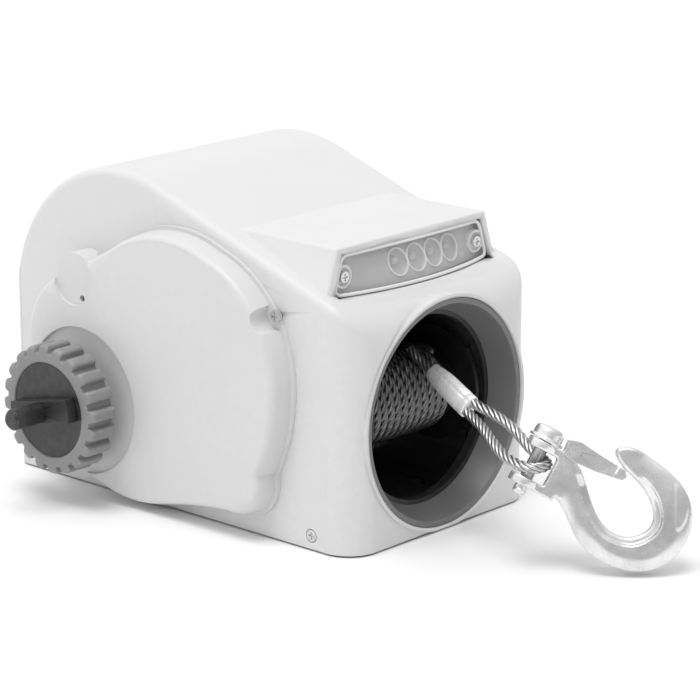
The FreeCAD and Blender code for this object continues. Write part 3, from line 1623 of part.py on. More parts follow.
doc.recompute()
for obj in doc.Objects:
    if "Invalid" in obj.State or "Error" in obj.State:
        raise RuntimeError("%s (%s) is %s" % (obj.Name, obj.Label, obj.State))
for obj in nodes:
    shape = obj.Shape
    if shape.isNull() or not shape.isValid() or not shape.Solids:
        raise RuntimeError("%s has no sound shape" % obj.Label)
for obj in nodes:
    obj.Shape.exportStep("parts/%s.step" % obj.Label)
    box = obj.Shape.BoundBox
    print(
        "%-16s %3d solids %9.0f mm3  x %7.1f %7.1f  y %7.1f %7.1f  z %6.1f %6.1f"
        % (
            obj.Label,
            len(obj.Shape.Solids),
            obj.Shape.Volume,
            box.XMin,
            box.XMax,
            box.YMin,
            box.YMax,
            box.ZMin,
            box.ZMax,
        )
    )
print(len(nodes), "nodes; gear centres", AT_ONE, AT_TWO, AT_MOTOR)
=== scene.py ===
import json
import math

import bpy
from mathutils import Matrix, Vector


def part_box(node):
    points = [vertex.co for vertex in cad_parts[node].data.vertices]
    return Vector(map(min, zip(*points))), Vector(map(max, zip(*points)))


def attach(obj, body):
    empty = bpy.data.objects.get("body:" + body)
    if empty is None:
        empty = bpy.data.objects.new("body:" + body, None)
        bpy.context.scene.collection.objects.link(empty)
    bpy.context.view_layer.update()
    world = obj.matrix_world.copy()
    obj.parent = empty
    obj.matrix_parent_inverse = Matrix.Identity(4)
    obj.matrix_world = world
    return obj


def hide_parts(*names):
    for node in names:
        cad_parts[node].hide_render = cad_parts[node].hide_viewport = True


MM = 0.001
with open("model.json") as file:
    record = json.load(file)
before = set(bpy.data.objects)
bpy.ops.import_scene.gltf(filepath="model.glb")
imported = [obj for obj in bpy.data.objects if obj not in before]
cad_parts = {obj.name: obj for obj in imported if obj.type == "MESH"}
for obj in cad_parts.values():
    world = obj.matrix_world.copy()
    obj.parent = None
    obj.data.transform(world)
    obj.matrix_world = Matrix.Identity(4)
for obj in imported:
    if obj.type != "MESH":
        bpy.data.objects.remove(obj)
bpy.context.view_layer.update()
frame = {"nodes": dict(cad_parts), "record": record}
scene = bpy.context.scene
NODES = frame["nodes"]

# Camera: the front left corner, a little above the work light
BACK = Vector((-0.715, -0.646, 0.269)).normalized()
EYE = (-1.5408, -1.4810, 0.6924)
cam_data = bpy.data.cameras.new("camera")
cam = bpy.data.objects.new("camera", cam_data)
scene.collection.objects.link(cam)
cam.location = EYE
cam_data.lens = 157
cam_data.clip_end = 50
cam.rotation_mode = "QUATERNION"
cam.rotation_quaternion = (-BACK).to_track_quat("-Z", "Y")
scene.camera = cam
scene.view_settings.view_transform = "Standard"


# Materials


def new_material(name):
    mat = bpy.data.materials.new(name)
    mat.use_nodes = True
    shader = mat.node_tree.nodes["Principled BSDF"]
    return mat, mat.node_tree, shader


def noise(tree, scale, detail=3.0, rough=0.55, stretch=(1, 1, 1)):
    coords = tree.nodes.new("ShaderNodeTexCoord")
    place = tree.nodes.new("ShaderNodeMapping")
    place.inputs["Scale"].default_value = stretch
    tex = tree.nodes.new("ShaderNodeTexNoise")
    tex.inputs["Scale"].default_value = scale
    tex.inputs["Detail"].default_value = detail
    tex.inputs["Roughness"].default_value = rough
    tree.links.new(coords.outputs["Object"], place.inputs["Vector"])
    tree.links.new(place.outputs["Vector"], tex.inputs["Vector"])
    return tex.outputs["Fac"]


def spread(tree, value, low, high, out_low, out_high):
    node = tree.nodes.new("ShaderNodeMapRange")
    for key, number in zip(("From Min", "From Max", "To Min", "To Max"), (low, high, out_low, out_high)):
        node.inputs[key].default_value = number
    tree.links.new(value, node.inputs["Value"])
    return node.outputs["Result"]


def blend_colours(tree, factor, a, b):
    node = tree.nodes.new("ShaderNodeMix")
    node.data_type = "RGBA"
    for socket, colour in ((node.inputs[6], a), (node.inputs[7], b)):
        if isinstance(colour, tuple):
            socket.default_value = (*colour, 1)
        else:
            tree.links.new(colour, socket)
    tree.links.new(factor, node.inputs[0])
    return node.outputs[2]


def bump(tree, height, distance):
    node = tree.nodes.new("ShaderNodeBump")
    node.inputs["Distance"].default_value = distance
    tree.links.new(height, node.inputs["Height"])
    return node.outputs["Normal"]


def worn_and_highlit_edges(tree, amount):
    """A mask of the outward edges, broken up by noise: rubbed wear and painted highlight on the edges."""
    geometry = tree.nodes.new("ShaderNodeNewGeometry")
    edge = spread(tree, geometry.outputs["Pointiness"], 0.51, 0.56, 0.0, amount)
    patches = spread(tree, noise(tree, 160), 0.4, 0.65, 0.2, 1.0)
    node = tree.nodes.new("ShaderNodeMath")
    node.operation = "MULTIPLY"
    tree.links.new(edge, node.inputs[0])
    tree.links.new(patches, node.inputs[1])
    return node.outputs[0]


def grey(value, tint=0.0):
    return (value, value, value * (1 + tint))


def plastic(name, low, high, rough, grain=0.00003, edge_wear_and_highlight=0.0, edge_wear_and_highlight_colour=0.9):
    """Moulded plastic: cloudy colour, fine spark grain, lighter edges that are part rubbed wear, part painted
    highlight.
    """
    mat, tree, shader = new_material(name)
    colour = blend_colours(tree, noise(tree, 14, 4), grey(low, 0.005), grey(high))
    # lighter outward edges: part rubbed wear, part painted highlight
    if edge_wear_and_highlight:
        colour = blend_colours(tree, worn_and_highlit_edges(tree, edge_wear_and_highlight), colour, grey(edge_wear_and_highlight_colour))
    tree.links.new(colour, shader.inputs["Base Color"])
    tree.links.new(
        spread(tree, noise(tree, 60, 4), 0.3, 0.7, rough - 0.05, rough + 0.07), shader.inputs["Roughness"]
    )
    tree.links.new(bump(tree, noise(tree, 2600, 2), grain), shader.inputs["Normal"])
    shader.inputs["Specular IOR Level"].default_value = 0.45
    return mat


def metal(name, low, high, rough, stretch=(1, 1, 1), scale=120, grain=0.00002, metallic=1.0):
    """Metal or metal plating: mottled tone, uneven roughness, light tool or plating texture."""
    mat, tree, shader = new_material(name)
    tone = spread(tree, noise(tree, scale, 5, 0.6, stretch), 0.3, 0.7, 0.0, 1.0)
    tree.links.new(blend_colours(tree, tone, grey(low), grey(high, 0.01)), shader.inputs["Base Color"])
    tree.links.new(
        spread(tree, noise(tree, scale * 2.3, 4, 0.6, stretch), 0.3, 0.7, rough - 0.06, rough + 0.1),
        shader.inputs["Roughness"],
    )
    tree.links.new(bump(tree, noise(tree, scale * 9, 3, 0.6, stretch), grain), shader.inputs["Normal"])
    shader.inputs["Metallic"].default_value = metallic
    return mat


def rope_wire(name, low=0.45, high=0.75):
    """Galvanised wire: wires with painted shade, near black, in the hollows between them."""
    mat, tree, shader = new_material(name)
    geometry = tree.nodes.new("ShaderNodeNewGeometry")
    hollow_shade = spread(tree, geometry.outputs["Pointiness"], 0.44, 0.52, 0.0, 1.0)
    tone = spread(tree, noise(tree, 500, 4), 0.3, 0.7, low, high)
    bright = tree.nodes.new("ShaderNodeCombineColor")
    for channel in ("Red", "Green", "Blue"):
        tree.links.new(tone, bright.inputs[channel])
    # painted shade: the hollows between the wires go near black
    colour = blend_colours(tree, hollow_shade, grey(0.03), bright.outputs[0])
    tree.links.new(colour, shader.inputs["Base Color"])
    tree.links.new(spread(tree, noise(tree, 300), 0.3, 0.7, 0.28, 0.45), shader.inputs["Roughness"])
    tree.links.new(bump(tree, noise(tree, 2400, 3), 0.00008), shader.inputs["Normal"])
    shader.inputs["Metallic"].default_value = 1.0
    return mat


def clear_plastic(name):
    mat, tree, shader = new_material(name)
    haze = spread(tree, noise(tree, 40, 4), 0.35, 0.7, 0.03, 0.10)
    tree.links.new(haze, shader.inputs["Roughness"])
    tree.links.new(
        blend_colours(tree, noise(tree, 12), grey(0.9), grey(0.97, 0.01)), shader.inputs["Base Color"]
    )
    tree.links.new(bump(tree, noise(tree, 25, 2), 0.00004), shader.inputs["Normal"])
    shader.inputs["Alpha"].default_value = 0.16
    shader.inputs["IOR"].default_value = 1.49
    return mat


MATERIALS = {
    "white_plastic": plastic("white_plastic", 0.70, 0.735, 0.36, edge_wear_and_highlight=0.2, edge_wear_and_highlight_colour=0.85),
    "cover_plastic": plastic("cover_plastic", 0.67, 0.705, 0.34, edge_wear_and_highlight=0.2, edge_wear_and_highlight_colour=0.82),
    "grey_plastic": plastic("grey_plastic", 0.155, 0.18, 0.34, edge_wear_and_highlight=0.3, edge_wear_and_highlight_colour=0.4),
    "black_plastic": plastic("black_plastic", 0.012, 0.018, 0.42, edge_wear_and_highlight=0.3, edge_wear_and_highlight_colour=0.08),
    "dark_plastic": plastic("dark_plastic", 0.022, 0.03, 0.36, edge_wear_and_highlight=0.18, edge_wear_and_highlight_colour=0.14),
    "knob_plastic": plastic("knob_plastic", 0.23, 0.27, 0.38, edge_wear_and_highlight=0.35, edge_wear_and_highlight_colour=0.5),
    "lead_cover": plastic("lead_cover", 0.02, 0.03, 0.5, edge_wear_and_highlight=0.1, edge_wear_and_highlight_colour=0.06),
    "reflector": plastic("reflector", 0.42, 0.47, 0.24, edge_wear_and_highlight=0.6, edge_wear_and_highlight_colour=0.85),
    "lamp_white": plastic("lamp_white", 0.75, 0.85, 0.16, grain=0.00001),
    "clear_lens": clear_plastic("clear_lens"),
    "base_steel": metal("base_steel", 0.03, 0.05, 0.5, metallic=0.3),
    "motor_paint": metal("motor_paint", 0.02, 0.035, 0.4, metallic=0.2),
    "drum_steel": metal("drum_steel", 0.012, 0.025, 0.38, metallic=0.4),
    "zinc_screw": metal("zinc_screw", 0.55, 0.75, 0.26, scale=400),
    "zinc_bright": metal("zinc_bright", 0.68, 0.94, 0.23, scale=42, metallic=0.74),
    "zinc_sleeve": metal("zinc_sleeve", 0.9, 0.98, 0.26, scale=90, metallic=0.15),
    "frame_steel": metal("frame_steel", 0.28, 0.36, 0.42, stretch=(1, 0.1, 1)),
    "shaft_steel": metal("shaft_steel", 0.5, 0.62, 0.25, stretch=(1, 8, 8)),
    "gear_steel": metal("gear_steel", 0.38, 0.5, 0.34),
    "dark_steel": metal("dark_steel", 0.05, 0.08, 0.3, scale=200, metallic=0.6),
    "bronze": metal("bronze", 0.4, 0.5, 0.35),
    "rope_steel": rope_wire("rope_steel"),
    # a darker copy of the rope's wire for the turns on the drum: painted shade
    "rope_shaded": rope_wire("rope_shaded", 0.13, 0.27),
}
for row in frame["record"]["subparts"]:
    obj = NODES[row["node"]]
    obj.data.materials.clear()
    obj.data.materials.append(MATERIALS[row["material_slot"]])


# Mesh helpers


def piece(name, verts, faces, slot, body, replaces=(), look=None):
    """A smooth mesh that rides a body; look is its material where that isn't its slot's own."""
    mesh = bpy.data.meshes.new(name)
    mesh.from_pydata([tuple(v) for v in verts], [], faces)
    mesh.update()
    mesh.shade_smooth()
    obj = bpy.data.objects.new(name, mesh)
    scene.collection.objects.link(obj)
    obj.data.materials.append(MATERIALS[look or slot])
    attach(obj, body)
    if replaces:
        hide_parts(*replaces)
    return obj


def grid_faces(rows, columns):
    """Quads between closed rings of vertices laid out one after the other."""
    faces = []
    for i in range(rows - 1):
        for j in range(columns):
            a = i * columns + j
            b = i * columns + (j + 1) % columns
            faces.append((a, b, b + columns, a + columns))
    return faces


def end_faces(rows, columns):
    """The two caps of a run of closed rings."""
    last = (rows - 1) * columns
    return [tuple(range(columns))[::-1], tuple(range(last, last + columns))]


def round_section(radius, sides):
    """A plain round section for swept()."""
    step = 2 * math.pi / sides
    return lambda i, s: [(radius * math.cos(k * step), radius * math.sin(k * step)) for k in range(sides)]


# a direction that no swept path starts along
START_WAY = Vector((0.31, 0.2, 0.93))


def swept(path, ring, caps=True):
    """Vertices and faces of a tube: ring(i, arc_length) gives the (u, v) points of its section."""
    verts = []
    normal = None
    travelled = 0.0
    count = 0
    for i, point in enumerate(path):
        tangent = (path[min(i + 1, len(path) - 1)] - path[max(i - 1, 0)]).normalized()
        if normal is None:
            normal = tangent.cross(START_WAY).normalized()
        normal = (normal - tangent * normal.dot(tangent)).normalized()
        side = tangent.cross(normal)
        if i:
            travelled += (point - path[i - 1]).length
        section = ring(i, travelled)
        count = len(section)
        verts.extend(point + normal * u + side * v for u, v in section)
    faces = grid_faces(len(path), count)
    if caps:
        faces += end_faces(len(path), count)
    return verts, faces


STRAND_SHARE = 0.36


def strand_section(radius, turn, strands=6, per=5):
    """The outline of laid strands: overlapping circles round the middle, turned by turn."""
    points = []
    small = radius * STRAND_SHARE
    middle = radius - small
    for k in range(strands):
        centre = turn + 2 * math.pi * k / strands
        for j in range(per):
            off = (j / per - 0.5) * 2 * math.pi / strands
            reach = middle * math.cos(off) + math.sqrt(max(small**2 - (middle * math.sin(off)) ** 2, 0.0))
            angle = centre + off
            points.append((reach * math.cos(angle), reach * math.sin(angle)))
    return points


def laid_rope(path, radius, lay=34 * MM, per=6):
    """A rope of six strands; lay is the length of one turn of a strand."""
    return swept(path, lambda i, s: strand_section(radius, 2 * math.pi * s / lay, per=per))


def route_points(name, points, step):
    """Even points along the smooth NURBS line whose control points are the route."""
    curve = bpy.data.curves.new(name, "CURVE")
    curve.dimensions = "3D"
    curve.resolution_u = 40
    spline = curve.splines.new("NURBS")
    spline.points.add(len(points) - 1)
    for target, point in zip(spline.points, points):
        target.co = (*point, 1)
    spline.order_u = 3
    spline.use_endpoint_u = True
    holder = bpy.data.objects.new(name, curve)
    scene.collection.objects.link(holder)
    raw = [v.co.copy() for v in bpy.data.meshes.new_from_object(holder).vertices]
    bpy.data.objects.remove(holder)
    total = sum((b - a).length for a, b in zip(raw, raw[1:]))
    count = max(2, round(total / step))
    out = [raw[0]]
    want = total / count
    done = 0.0
    for a, b in zip(raw, raw[1:]):
        run = (b - a).length
        while done + run >= want * len(out) - 1e-9 and len(out) < count:
            share = (want * len(out) - done) / run
            out.append(a.lerp(b, share))
        done += run
    out.append(raw[-1])
    return out, total


# The rope and the hook's own frame, as in the CAD source; x along the clevis pin, y up the shank
FACE_Y = -178
PIN_AT = Vector((-17.6, FACE_Y - 94.2, 75.9)) * MM
PIN_WAY = Vector((0.492, -0.191, 0.85)).normalized()
FACE_WAY = BACK.copy()
UP_WAY = FACE_WAY.cross(PIN_WAY).normalized()
FACE_WAY = PIN_WAY.cross(UP_WAY).normalized()
HOOK = Matrix.Translation(PIN_AT) @ Matrix((PIN_WAY, UP_WAY, FACE_WAY)).transposed().to_4x4()
FERRULE_A = Vector((11.5, FACE_Y + 22.5, 107.8)) * MM
FERRULE_B = Vector((1.3, FACE_Y - 20.5, 91.8)) * MM
ALONG = (FERRULE_B - FERRULE_A).normalized()
SIDE_WAY = (PIN_WAY - ALONG * PIN_WAY.dot(ALONG)).normalized()
ROPE_DIA = 7 * MM
ROPE_HALF = ROPE_DIA / 2
CROWN = 1.065
WIND_GAP = 0.3 * MM
pack_low, pack_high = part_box("rope_winding")
DRUM_Y = (pack_low[1] + pack_high[1]) / 2
DRUM_Z = (pack_low[2] + pack_high[2]) / 2
PACK = (pack_high[2] - pack_low[2]) / 2


def drum_tangent(point):
    """Where the straight rope through the point leaves the top of the winding."""
    radius = PACK + ROPE_HALF + WIND_GAP
    dy, dz = point.y - DRUM_Y, point.z - DRUM_Z
    angle = math.atan2(dz, dy) - math.acos(radius / math.hypot(dy, dz))
    y = DRUM_Y + radius * math.cos(angle)
    z = DRUM_Z + radius * math.sin(angle)
    run = math.hypot(y - point.y, z - point.z)
    return Vector((point.x - ALONG.x / math.hypot(ALONG.y, ALONG.z) * run, y, z))


ROPE_EXIT = drum_tangent(FERRULE_A)
near = HOOK.inverted() @ FERRULE_B
EYE_REACH = math.hypot(near.y, near.z)
PULL = (near.y / EYE_REACH, near.z / EYE_REACH)
LEG = ROPE_HALF + 0.15 * MM
ROUND = 8.3
TUCKED_IN = 12 * MM
ROPE_STEP = 0.7 * MM
# x along the pin, share of the way from pin to sleeve (None is behind the pin), millimetres to the front
EYE_ROUTE = [
    (1.0, 0.70, 3.2),
    (-6.0, 0.43, 6.8),
    (-10.2, 0.18, 8.6),
    (-8.8, None, ROUND),
    (1.0, None, -ROUND),
    (2.2, 0.18, -8.6),
    (9.5, 0.43, -6.8),
    (12.6, 0.70, -3.2),
]
rope_points = [
    ROPE_EXIT,
    FERRULE_A,
    (FERRULE_A + FERRULE_B) / 2 - SIDE_WAY * LEG / 2,
    FERRULE_B - SIDE_WAY * LEG,
]
for x, share, front in EYE_ROUTE:
    far = -ROUND * MM if share is None else share * EYE_REACH
    front *= MM
    rope_points.append(
        HOOK @ Vector((x * MM, far * PULL[0] - front * PULL[1], far * PULL[1] + front * PULL[0]))
    )
rope_points += [FERRULE_B + SIDE_WAY * LEG, FERRULE_B + SIDE_WAY * LEG - ALONG * TUCKED_IN]
rope_line, rope_length = route_points("rope_route", rope_points, ROPE_STEP)
verts, faces = laid_rope(rope_line, ROPE_HALF * CROWN)
rope = piece("free_rope", verts, faces, "rope_steel", "housing", ["rope_tail", "rope_eye"])

# Ferrule: a pressed oval sleeve that tapers to the drum, with a seam along it and a groove near its mouth
WIDE = 8.2 * MM
THICK = 5.8 * MM
SLEEVE_SIDES = 72
SEAM_ANGLE = 1.2
SEAM_WIDE = 0.1
SEAM_DEEP = 0.09
OVAL_POWER = 0.92
thick_way = ALONG.cross(SIDE_WAY)
sleeve_mm = (FERRULE_B - FERRULE_A).length / MM
# distance from the drum end in millimetres, share of the full section
TAPER = [
    (0.0, 0.64), (0.3, 0.70), (1.0, 0.74), (5.0, 0.80), (9.0, 0.875), (13.0, 0.94), (17.0, 0.985),
    (20.0, 1.0), (30.0, 1.01),
]
# the same from the eye end
MOUTH = [(7.0, 1.02), (6.2, 0.985), (5.4, 1.02), (2.0, 1.03), (1.0, 1.01), (0.3, 0.95), (0.0, 0.87)]
stations = TAPER + [(sleeve_mm - back, grow) for back, grow in MOUTH]
verts = []
for along, grow in stations:
    centre = FERRULE_A + ALONG * along * MM
    for k in range(SLEEVE_SIDES):
        angle = 2 * math.pi * k / SLEEVE_SIDES
        seam = 1.0 - SEAM_DEEP * math.exp(-(((angle - SEAM_ANGLE) / SEAM_WIDE) ** 2))
        u = WIDE * math.copysign(abs(math.cos(angle)) ** OVAL_POWER, math.cos(angle))
        v = THICK * math.copysign(abs(math.sin(angle)) ** OVAL_POWER, math.sin(angle))
        verts.append(centre + (SIDE_WAY * u + thick_way * v) * grow * seam)
faces = grid_faces(len(stations), SLEEVE_SIDES) + end_faces(len(stations), SLEEVE_SIDES)
ferrule = piece("ferrule_sleeve", verts, faces, "zinc_bright", "housing", ["ferrule"], "zinc_sleeve")

# Rope wound on the drum: an outer layer of touching turns over a plain core of the layers below
WOUND = PACK - ROPE_HALF
PITCH = ROPE_DIA * 1.02
STEPS = 90
FIRST_ANGLE = 2.0
STEP_FROM = 0.7
turns = int((pack_high[0] - pack_low[0] - ROPE_DIA) / PITCH)
helix = []
for k in range(turns * STEPS + 1):
    angle = FIRST_ANGLE + 2 * math.pi * k / STEPS
    # each turn lies straight and steps over to the next in its last stretch
    whole, part = divmod(k / STEPS, 1.0)
    shift = whole + max((part - STEP_FROM) / (1 - STEP_FROM), 0.0)
    x = pack_low[0] + ROPE_HALF + shift * PITCH
    helix.append(Vector((x, DRUM_Y + WOUND * math.cos(angle), DRUM_Z + WOUND * math.sin(angle))))
# the turns and the core below them take the darker copy of the wire, as painted shade
verts, faces = laid_rope(helix, ROPE_HALF, lay=36 * MM, per=4)
piece("rope_turns", verts, faces, "rope_steel", "drum_turning", ["rope_winding"], "rope_shaded")
CORE_SIDES = 64
HUB = 17 * MM
UNDER = WOUND - 0.6 * ROPE_HALF
core_rows = ((pack_low[0], HUB), (pack_low[0], UNDER), (pack_high[0], UNDER), (pack_high[0], HUB))
verts = []
for x, radius in core_rows:
    for k in range(CORE_SIDES):
        angle = 2 * math.pi * k / CORE_SIDES
        verts.append(Vector((x, DRUM_Y + radius * math.cos(angle), DRUM_Z + radius * math.sin(angle))))
faces = grid_faces(len(core_rows), CORE_SIDES)
piece("rope_under_layers", verts, faces, "rope_steel", "drum_turning", (), "rope_shaded")

# Knob: a ring with twenty rounded lugs, a web behind and a recess for the cap
KNOB_Y = 64 * MM
KNOB_Z = 71 * MM
LUGS = 20
LUG_RISE = 5.5
LUG_HALF = 5.9
FIRST_LUG = 4
# degrees from the middle of a lug, closer together on its flanks
FLANK = (1.5, 3.0, 4.2, 5.0, 5.5, 5.8, 6.0, 6.5, 7.6)
LUG_ANGLES = [-9] + [-a for a in FLANK[::-1]] + [0] + list(FLANK)
# millimetres out from the middle plane, radius, share of the lug's rise
RING_ROWS = [
    (126.0, 20.3, 0), (126.0, 20.6, 0), (126.0, 39.5, 0), (126.4, 40.8, 0.1), (126.8, 41.3, 0.5),
    (127.4, 41.5, 0.8), (128.4, 41.5, 0.95), (130.0, 41.5, 1), (138.0, 41.5, 1), (146.4, 41.5, 1),
    (148.2, 41.5, 0.96), (149.3, 41.5, 0.84), (149.8, 41.4, 0.66), (150.0, 41.0, 0.4), (150.0, 39.5, 0),
    (150.0, 35.6, 0), (149.8, 34.9, 0), (149.3, 34.5, 0), (148.5, 34.4, 0), (129.3, 34.4, 0),
    (129.0, 34.0, 0), (129.0, 20.6, 0), (128.9, 20.3, 0),
]
verts = []
columns = LUGS * len(LUG_ANGLES)
for x, radius, rise in RING_ROWS:
    for tooth in range(LUGS):
        for degrees in LUG_ANGLES:
            share = max(1 - abs(degrees / LUG_HALF) ** 5, 0.0) ** 0.5
            reach = (radius + LUG_RISE * rise * share) * MM
            angle = math.radians(360 / LUGS * tooth + degrees + FIRST_LUG)
            verts.append((-x * MM, KNOB_Y + reach * math.sin(angle), KNOB_Z + reach * math.cos(angle)))
faces = grid_faces(len(RING_ROWS), columns)
last = (len(RING_ROWS) - 1) * columns
for j in range(columns):
    faces.append((last + j, last + (j + 1) % columns, (j + 1) % columns, j))
piece("knob_lugged", verts, faces, "knob_plastic", "clutch_knob", ["knob_ring"])


# Hook: the forging is the CAD solid, remeshed and softened, with its inner rim set lower and its back thinned
THROAT = [
    (9, -12), (8, -28), (-2, -39.5), (-12, -50), (-19.5, -65), (-16, -81), (-2.5, -88.4), (10.5, -80),
    (18.5, -64),
]
BACK_EDGE = [
    (36.5, -63), (33.5, -83), (21.5, -105), (-3, -114.2), (-29.3, -103.3), (-40.2, -77), (-34, -48),
    (-19, -27),
]


def between(a, b, c, d, t):
    """Catmull-Rom interpolation from b to c."""
    square = 2 * a - 5 * b + 4 * c - d
    cube = 3 * b - a - 3 * c + d
    return 0.5 * (2 * b + (c - a) * t + square * t * t + cube * t**3)


def smooth_line(points, per=8):
    """A Catmull-Rom line through the points."""
    full = [points[0]] + points + [points[-1]]
    out = []
    for near_four in zip(full, full[1:], full[2:], full[3:]):
        for k in range(per):
            out.append(tuple(between(*numbers, k / per) for numbers in zip(*near_four)))
    out.append(points[-1])
    return out


def nearest(points, x, y):
    """The distance to the line in the plane, and how far along it that is, from 0 to 1."""
    best = (1e9, 0.0)
    for i, (a, b) in enumerate(zip(points, points[1:])):
        dx, dy = b[0] - a[0], b[1] - a[1]
        t = min(max(((x - a[0]) * dx + (y - a[1]) * dy) / (dx * dx + dy * dy), 0.0), 1.0)
        gap = math.hypot(x - a[0] - t * dx, y - a[1] - t * dy)
        if gap < best[0]:
            best = (gap, (i + t) / (len(points) - 1))
    return best


def ease(value, low, high):
    t = min(max((value - low) / (high - low), 0.0), 1.0)
    return t * t * (3 - 2 * t)


def remeshed(name, source, voxel, rounds):
    """A smooth closed copy of a CAD solid, in world space."""
    mesh = NODES[source].data.copy()
    mesh.transform(NODES[source].matrix_world)
    obj = bpy.data.objects.new(name, mesh)
    scene.collection.objects.link(obj)
    remesh = obj.modifiers.new("remesh", "REMESH")
    remesh.mode = "VOXEL"
    remesh.voxel_size = voxel
    relax = obj.modifiers.new("relax", "SMOOTH")
    relax.factor = 0.5
    relax.iterations = rounds
    graph = bpy.context.evaluated_depsgraph_get()
    done = bpy.data.meshes.new_from_object(obj.evaluated_get(graph))
    bpy.data.objects.remove(obj)
    return done


throat_line = smooth_line(THROAT)
back_line = smooth_line(BACK_EDGE)
HOOK_VOXEL = 0.9 * MM
HOOK_ROUNDS = 5
# millimetres below the pin where the shank ends, and where the back edge is thinned in full
SHANK_END = 24
SHANK_FADE = 34
# the throat's rim: its width and the step beside it in millimetres, its share of the thickness, and
# the shares of the throat's line where it comes and goes
RIM_WIDE = 4.6
RIM_STEP = 1.6
RIM_THICK = 0.46
RIM_SWELL = 0.16
RIM_STARTS = (0.14, 0.24)
RIM_ENDS = (0.86, 1.0)
BACK_WIDE = 9.0
BACK_CUT = 0.30
BACK_POWER = 1.6
# the pad on the front of the bowl: millimetres from the bowl's middle, degrees round it
BOWL = (-1, -66)
PAD_REACH = 38.5
PAD_ACROSS = 4.2
PAD_TURN = -62
PAD_ALONG = 24
PAD_SLOPE = (0.85, 1.1)
PAD_HIGH = 0.55
FRONT_SIDE = 3


def thickness_share(x, y):
    """How much of the forging's thickness is left at x, y: less on the throat's rim and at the back edge."""
    gap, along = nearest(throat_line, x, y)
    step = (1 - ease(gap, RIM_WIDE, RIM_WIDE + RIM_STEP)) * ease(along, *RIM_STARTS)
    step *= 1 - ease(along, *RIM_ENDS)
    rim = RIM_THICK + RIM_SWELL * math.sqrt(min(gap / RIM_WIDE, 1.0))
    back_gap = nearest(back_line, x, y)[0]
    fade = ease(-y, SHANK_END, SHANK_FADE)
    back = 1 - BACK_CUT * fade * max(1 - back_gap / BACK_WIDE, 0.0) ** BACK_POWER
    return (1 - step * (1 - rim)) * back


def pad_share(x, y):
    """1 on the raised pad of the bowl, 0 off it."""
    dx, dy = x - BOWL[0], y - BOWL[1]
    across = (math.hypot(dx, dy) - PAD_REACH) / PAD_ACROSS
    along = (math.degrees(math.atan2(dy, dx)) - PAD_TURN) / PAD_ALONG
    return 1 - ease(math.hypot(across, along), *PAD_SLOPE)


hook_mesh = remeshed("hook_source", "hook_body", HOOK_VOXEL, HOOK_ROUNDS)
into_hook = HOOK.inverted()
for vertex in hook_mesh.vertices:
    x, y, z = (into_hook @ vertex.co) / MM
    if y < -SHANK_END:
        z *= thickness_share(x, y)
        if z > FRONT_SIDE:
            z += PAD_HIGH * pad_share(x, y)
        vertex.co = HOOK @ (Vector((x, y, z)) * MM)
hook_mesh.shade_smooth()
hook_obj = bpy.data.objects.new("hook_forged", hook_mesh)
scene.collection.objects.link(hook_obj)
hook_mesh.materials.clear()
hook_mesh.materials.append(MATERIALS["zinc_bright"])
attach(hook_obj, "hook")
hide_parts("hook_body")


def lathe(name, profile, place, slot, body, replaces=(), columns=64):
    """A turned piece round the X axis of its place; the profile is a run of (x, radius) in millimetres."""
    verts = []
    for x, radius in profile:
        for k in range(columns):
            angle = 2 * math.pi * k / columns
            spot = Vector((x, radius * math.cos(angle), radius * math.sin(angle))) * MM
            verts.append(place @ spot)
    faces = grid_faces(len(profile), columns) + end_faces(len(profile), columns)
    return piece(name, verts, faces, slot, body, replaces)


# Clevis pin: the rod and its end, a collar, and a domed head with a round recess
PIN_PROFILE = [
    (-26.5, 2.5), (-26.3, 3.6), (-25.8, 4.2), (-25.0, 4.5), (12.85, 4.5), (12.9, 6.2), (12.95, 11.2),
    (13.2, 11.9), (13.9, 12.2), (14.6, 11.9), (15.0, 11.2), (15.3, 10.5), (15.9, 10.3), (19.0, 10.4),
    (21.0, 9.9), (22.3, 8.6), (23.0, 6.6), (23.1, 5.6), (21.5, 5.2), (21.4, 0.4),
]
pin = lathe("clevis_pin_turned", PIN_PROFILE, HOOK, "zinc_bright", "hook", ["clevis_pin"])


# Light: a dished tray with four wells and domes, a bright ring round each well as painted highlight, a post
# at each end, and the lens rim
# millimetres
HOOD_FRONT = FACE_Y + 31
HOOD_TOP = 209.5
HOOD_RISE = 41.5
HOOD_HALF_TOP = 77.5
HOOD_SPREAD = 12.5
HOOD_BOW = 17
LENS_INSET = 6.5
LAMP_X = [11 + 18.5 * (k - 1.5) for k in range(4)]
LAMP_Z = 190.0
DOME_BACK = 10.6
POST_X = (-69.0, 69.0)
POST_Z = 188.5
POST_BACK = 6.0


def hood_half(z):
    """Half the width of the hood's front at z."""
    return HOOD_HALF_TOP + HOOD_SPREAD * (HOOD_TOP - z) / HOOD_RISE


def bowed(x, z):
    """The bowed line of the hood's front, at x across and z up, in millimetres."""
    half = hood_half(z) - LENS_INSET
    bow = max(HOOD_BOW * (HOOD_TOP - z) / HOOD_RISE, 0.01)
    radius = (half * half + bow * bow) / (2 * bow)
    return HOOD_FRONT - bow + radius - math.sqrt(radius * radius - x * x)


def behind_front(x, back, z):
    """The point at x across and z up, back millimetres behind the bowed front."""
    return Vector((x, bowed(x, z) + back, z)) * MM


def facing_front(x, back, z):
    """A place whose X axis points out of the hood."""
    return Matrix.Translation(behind_front(x, back, z)) @ Matrix.Rotation(-math.pi / 2, 4, "Z")


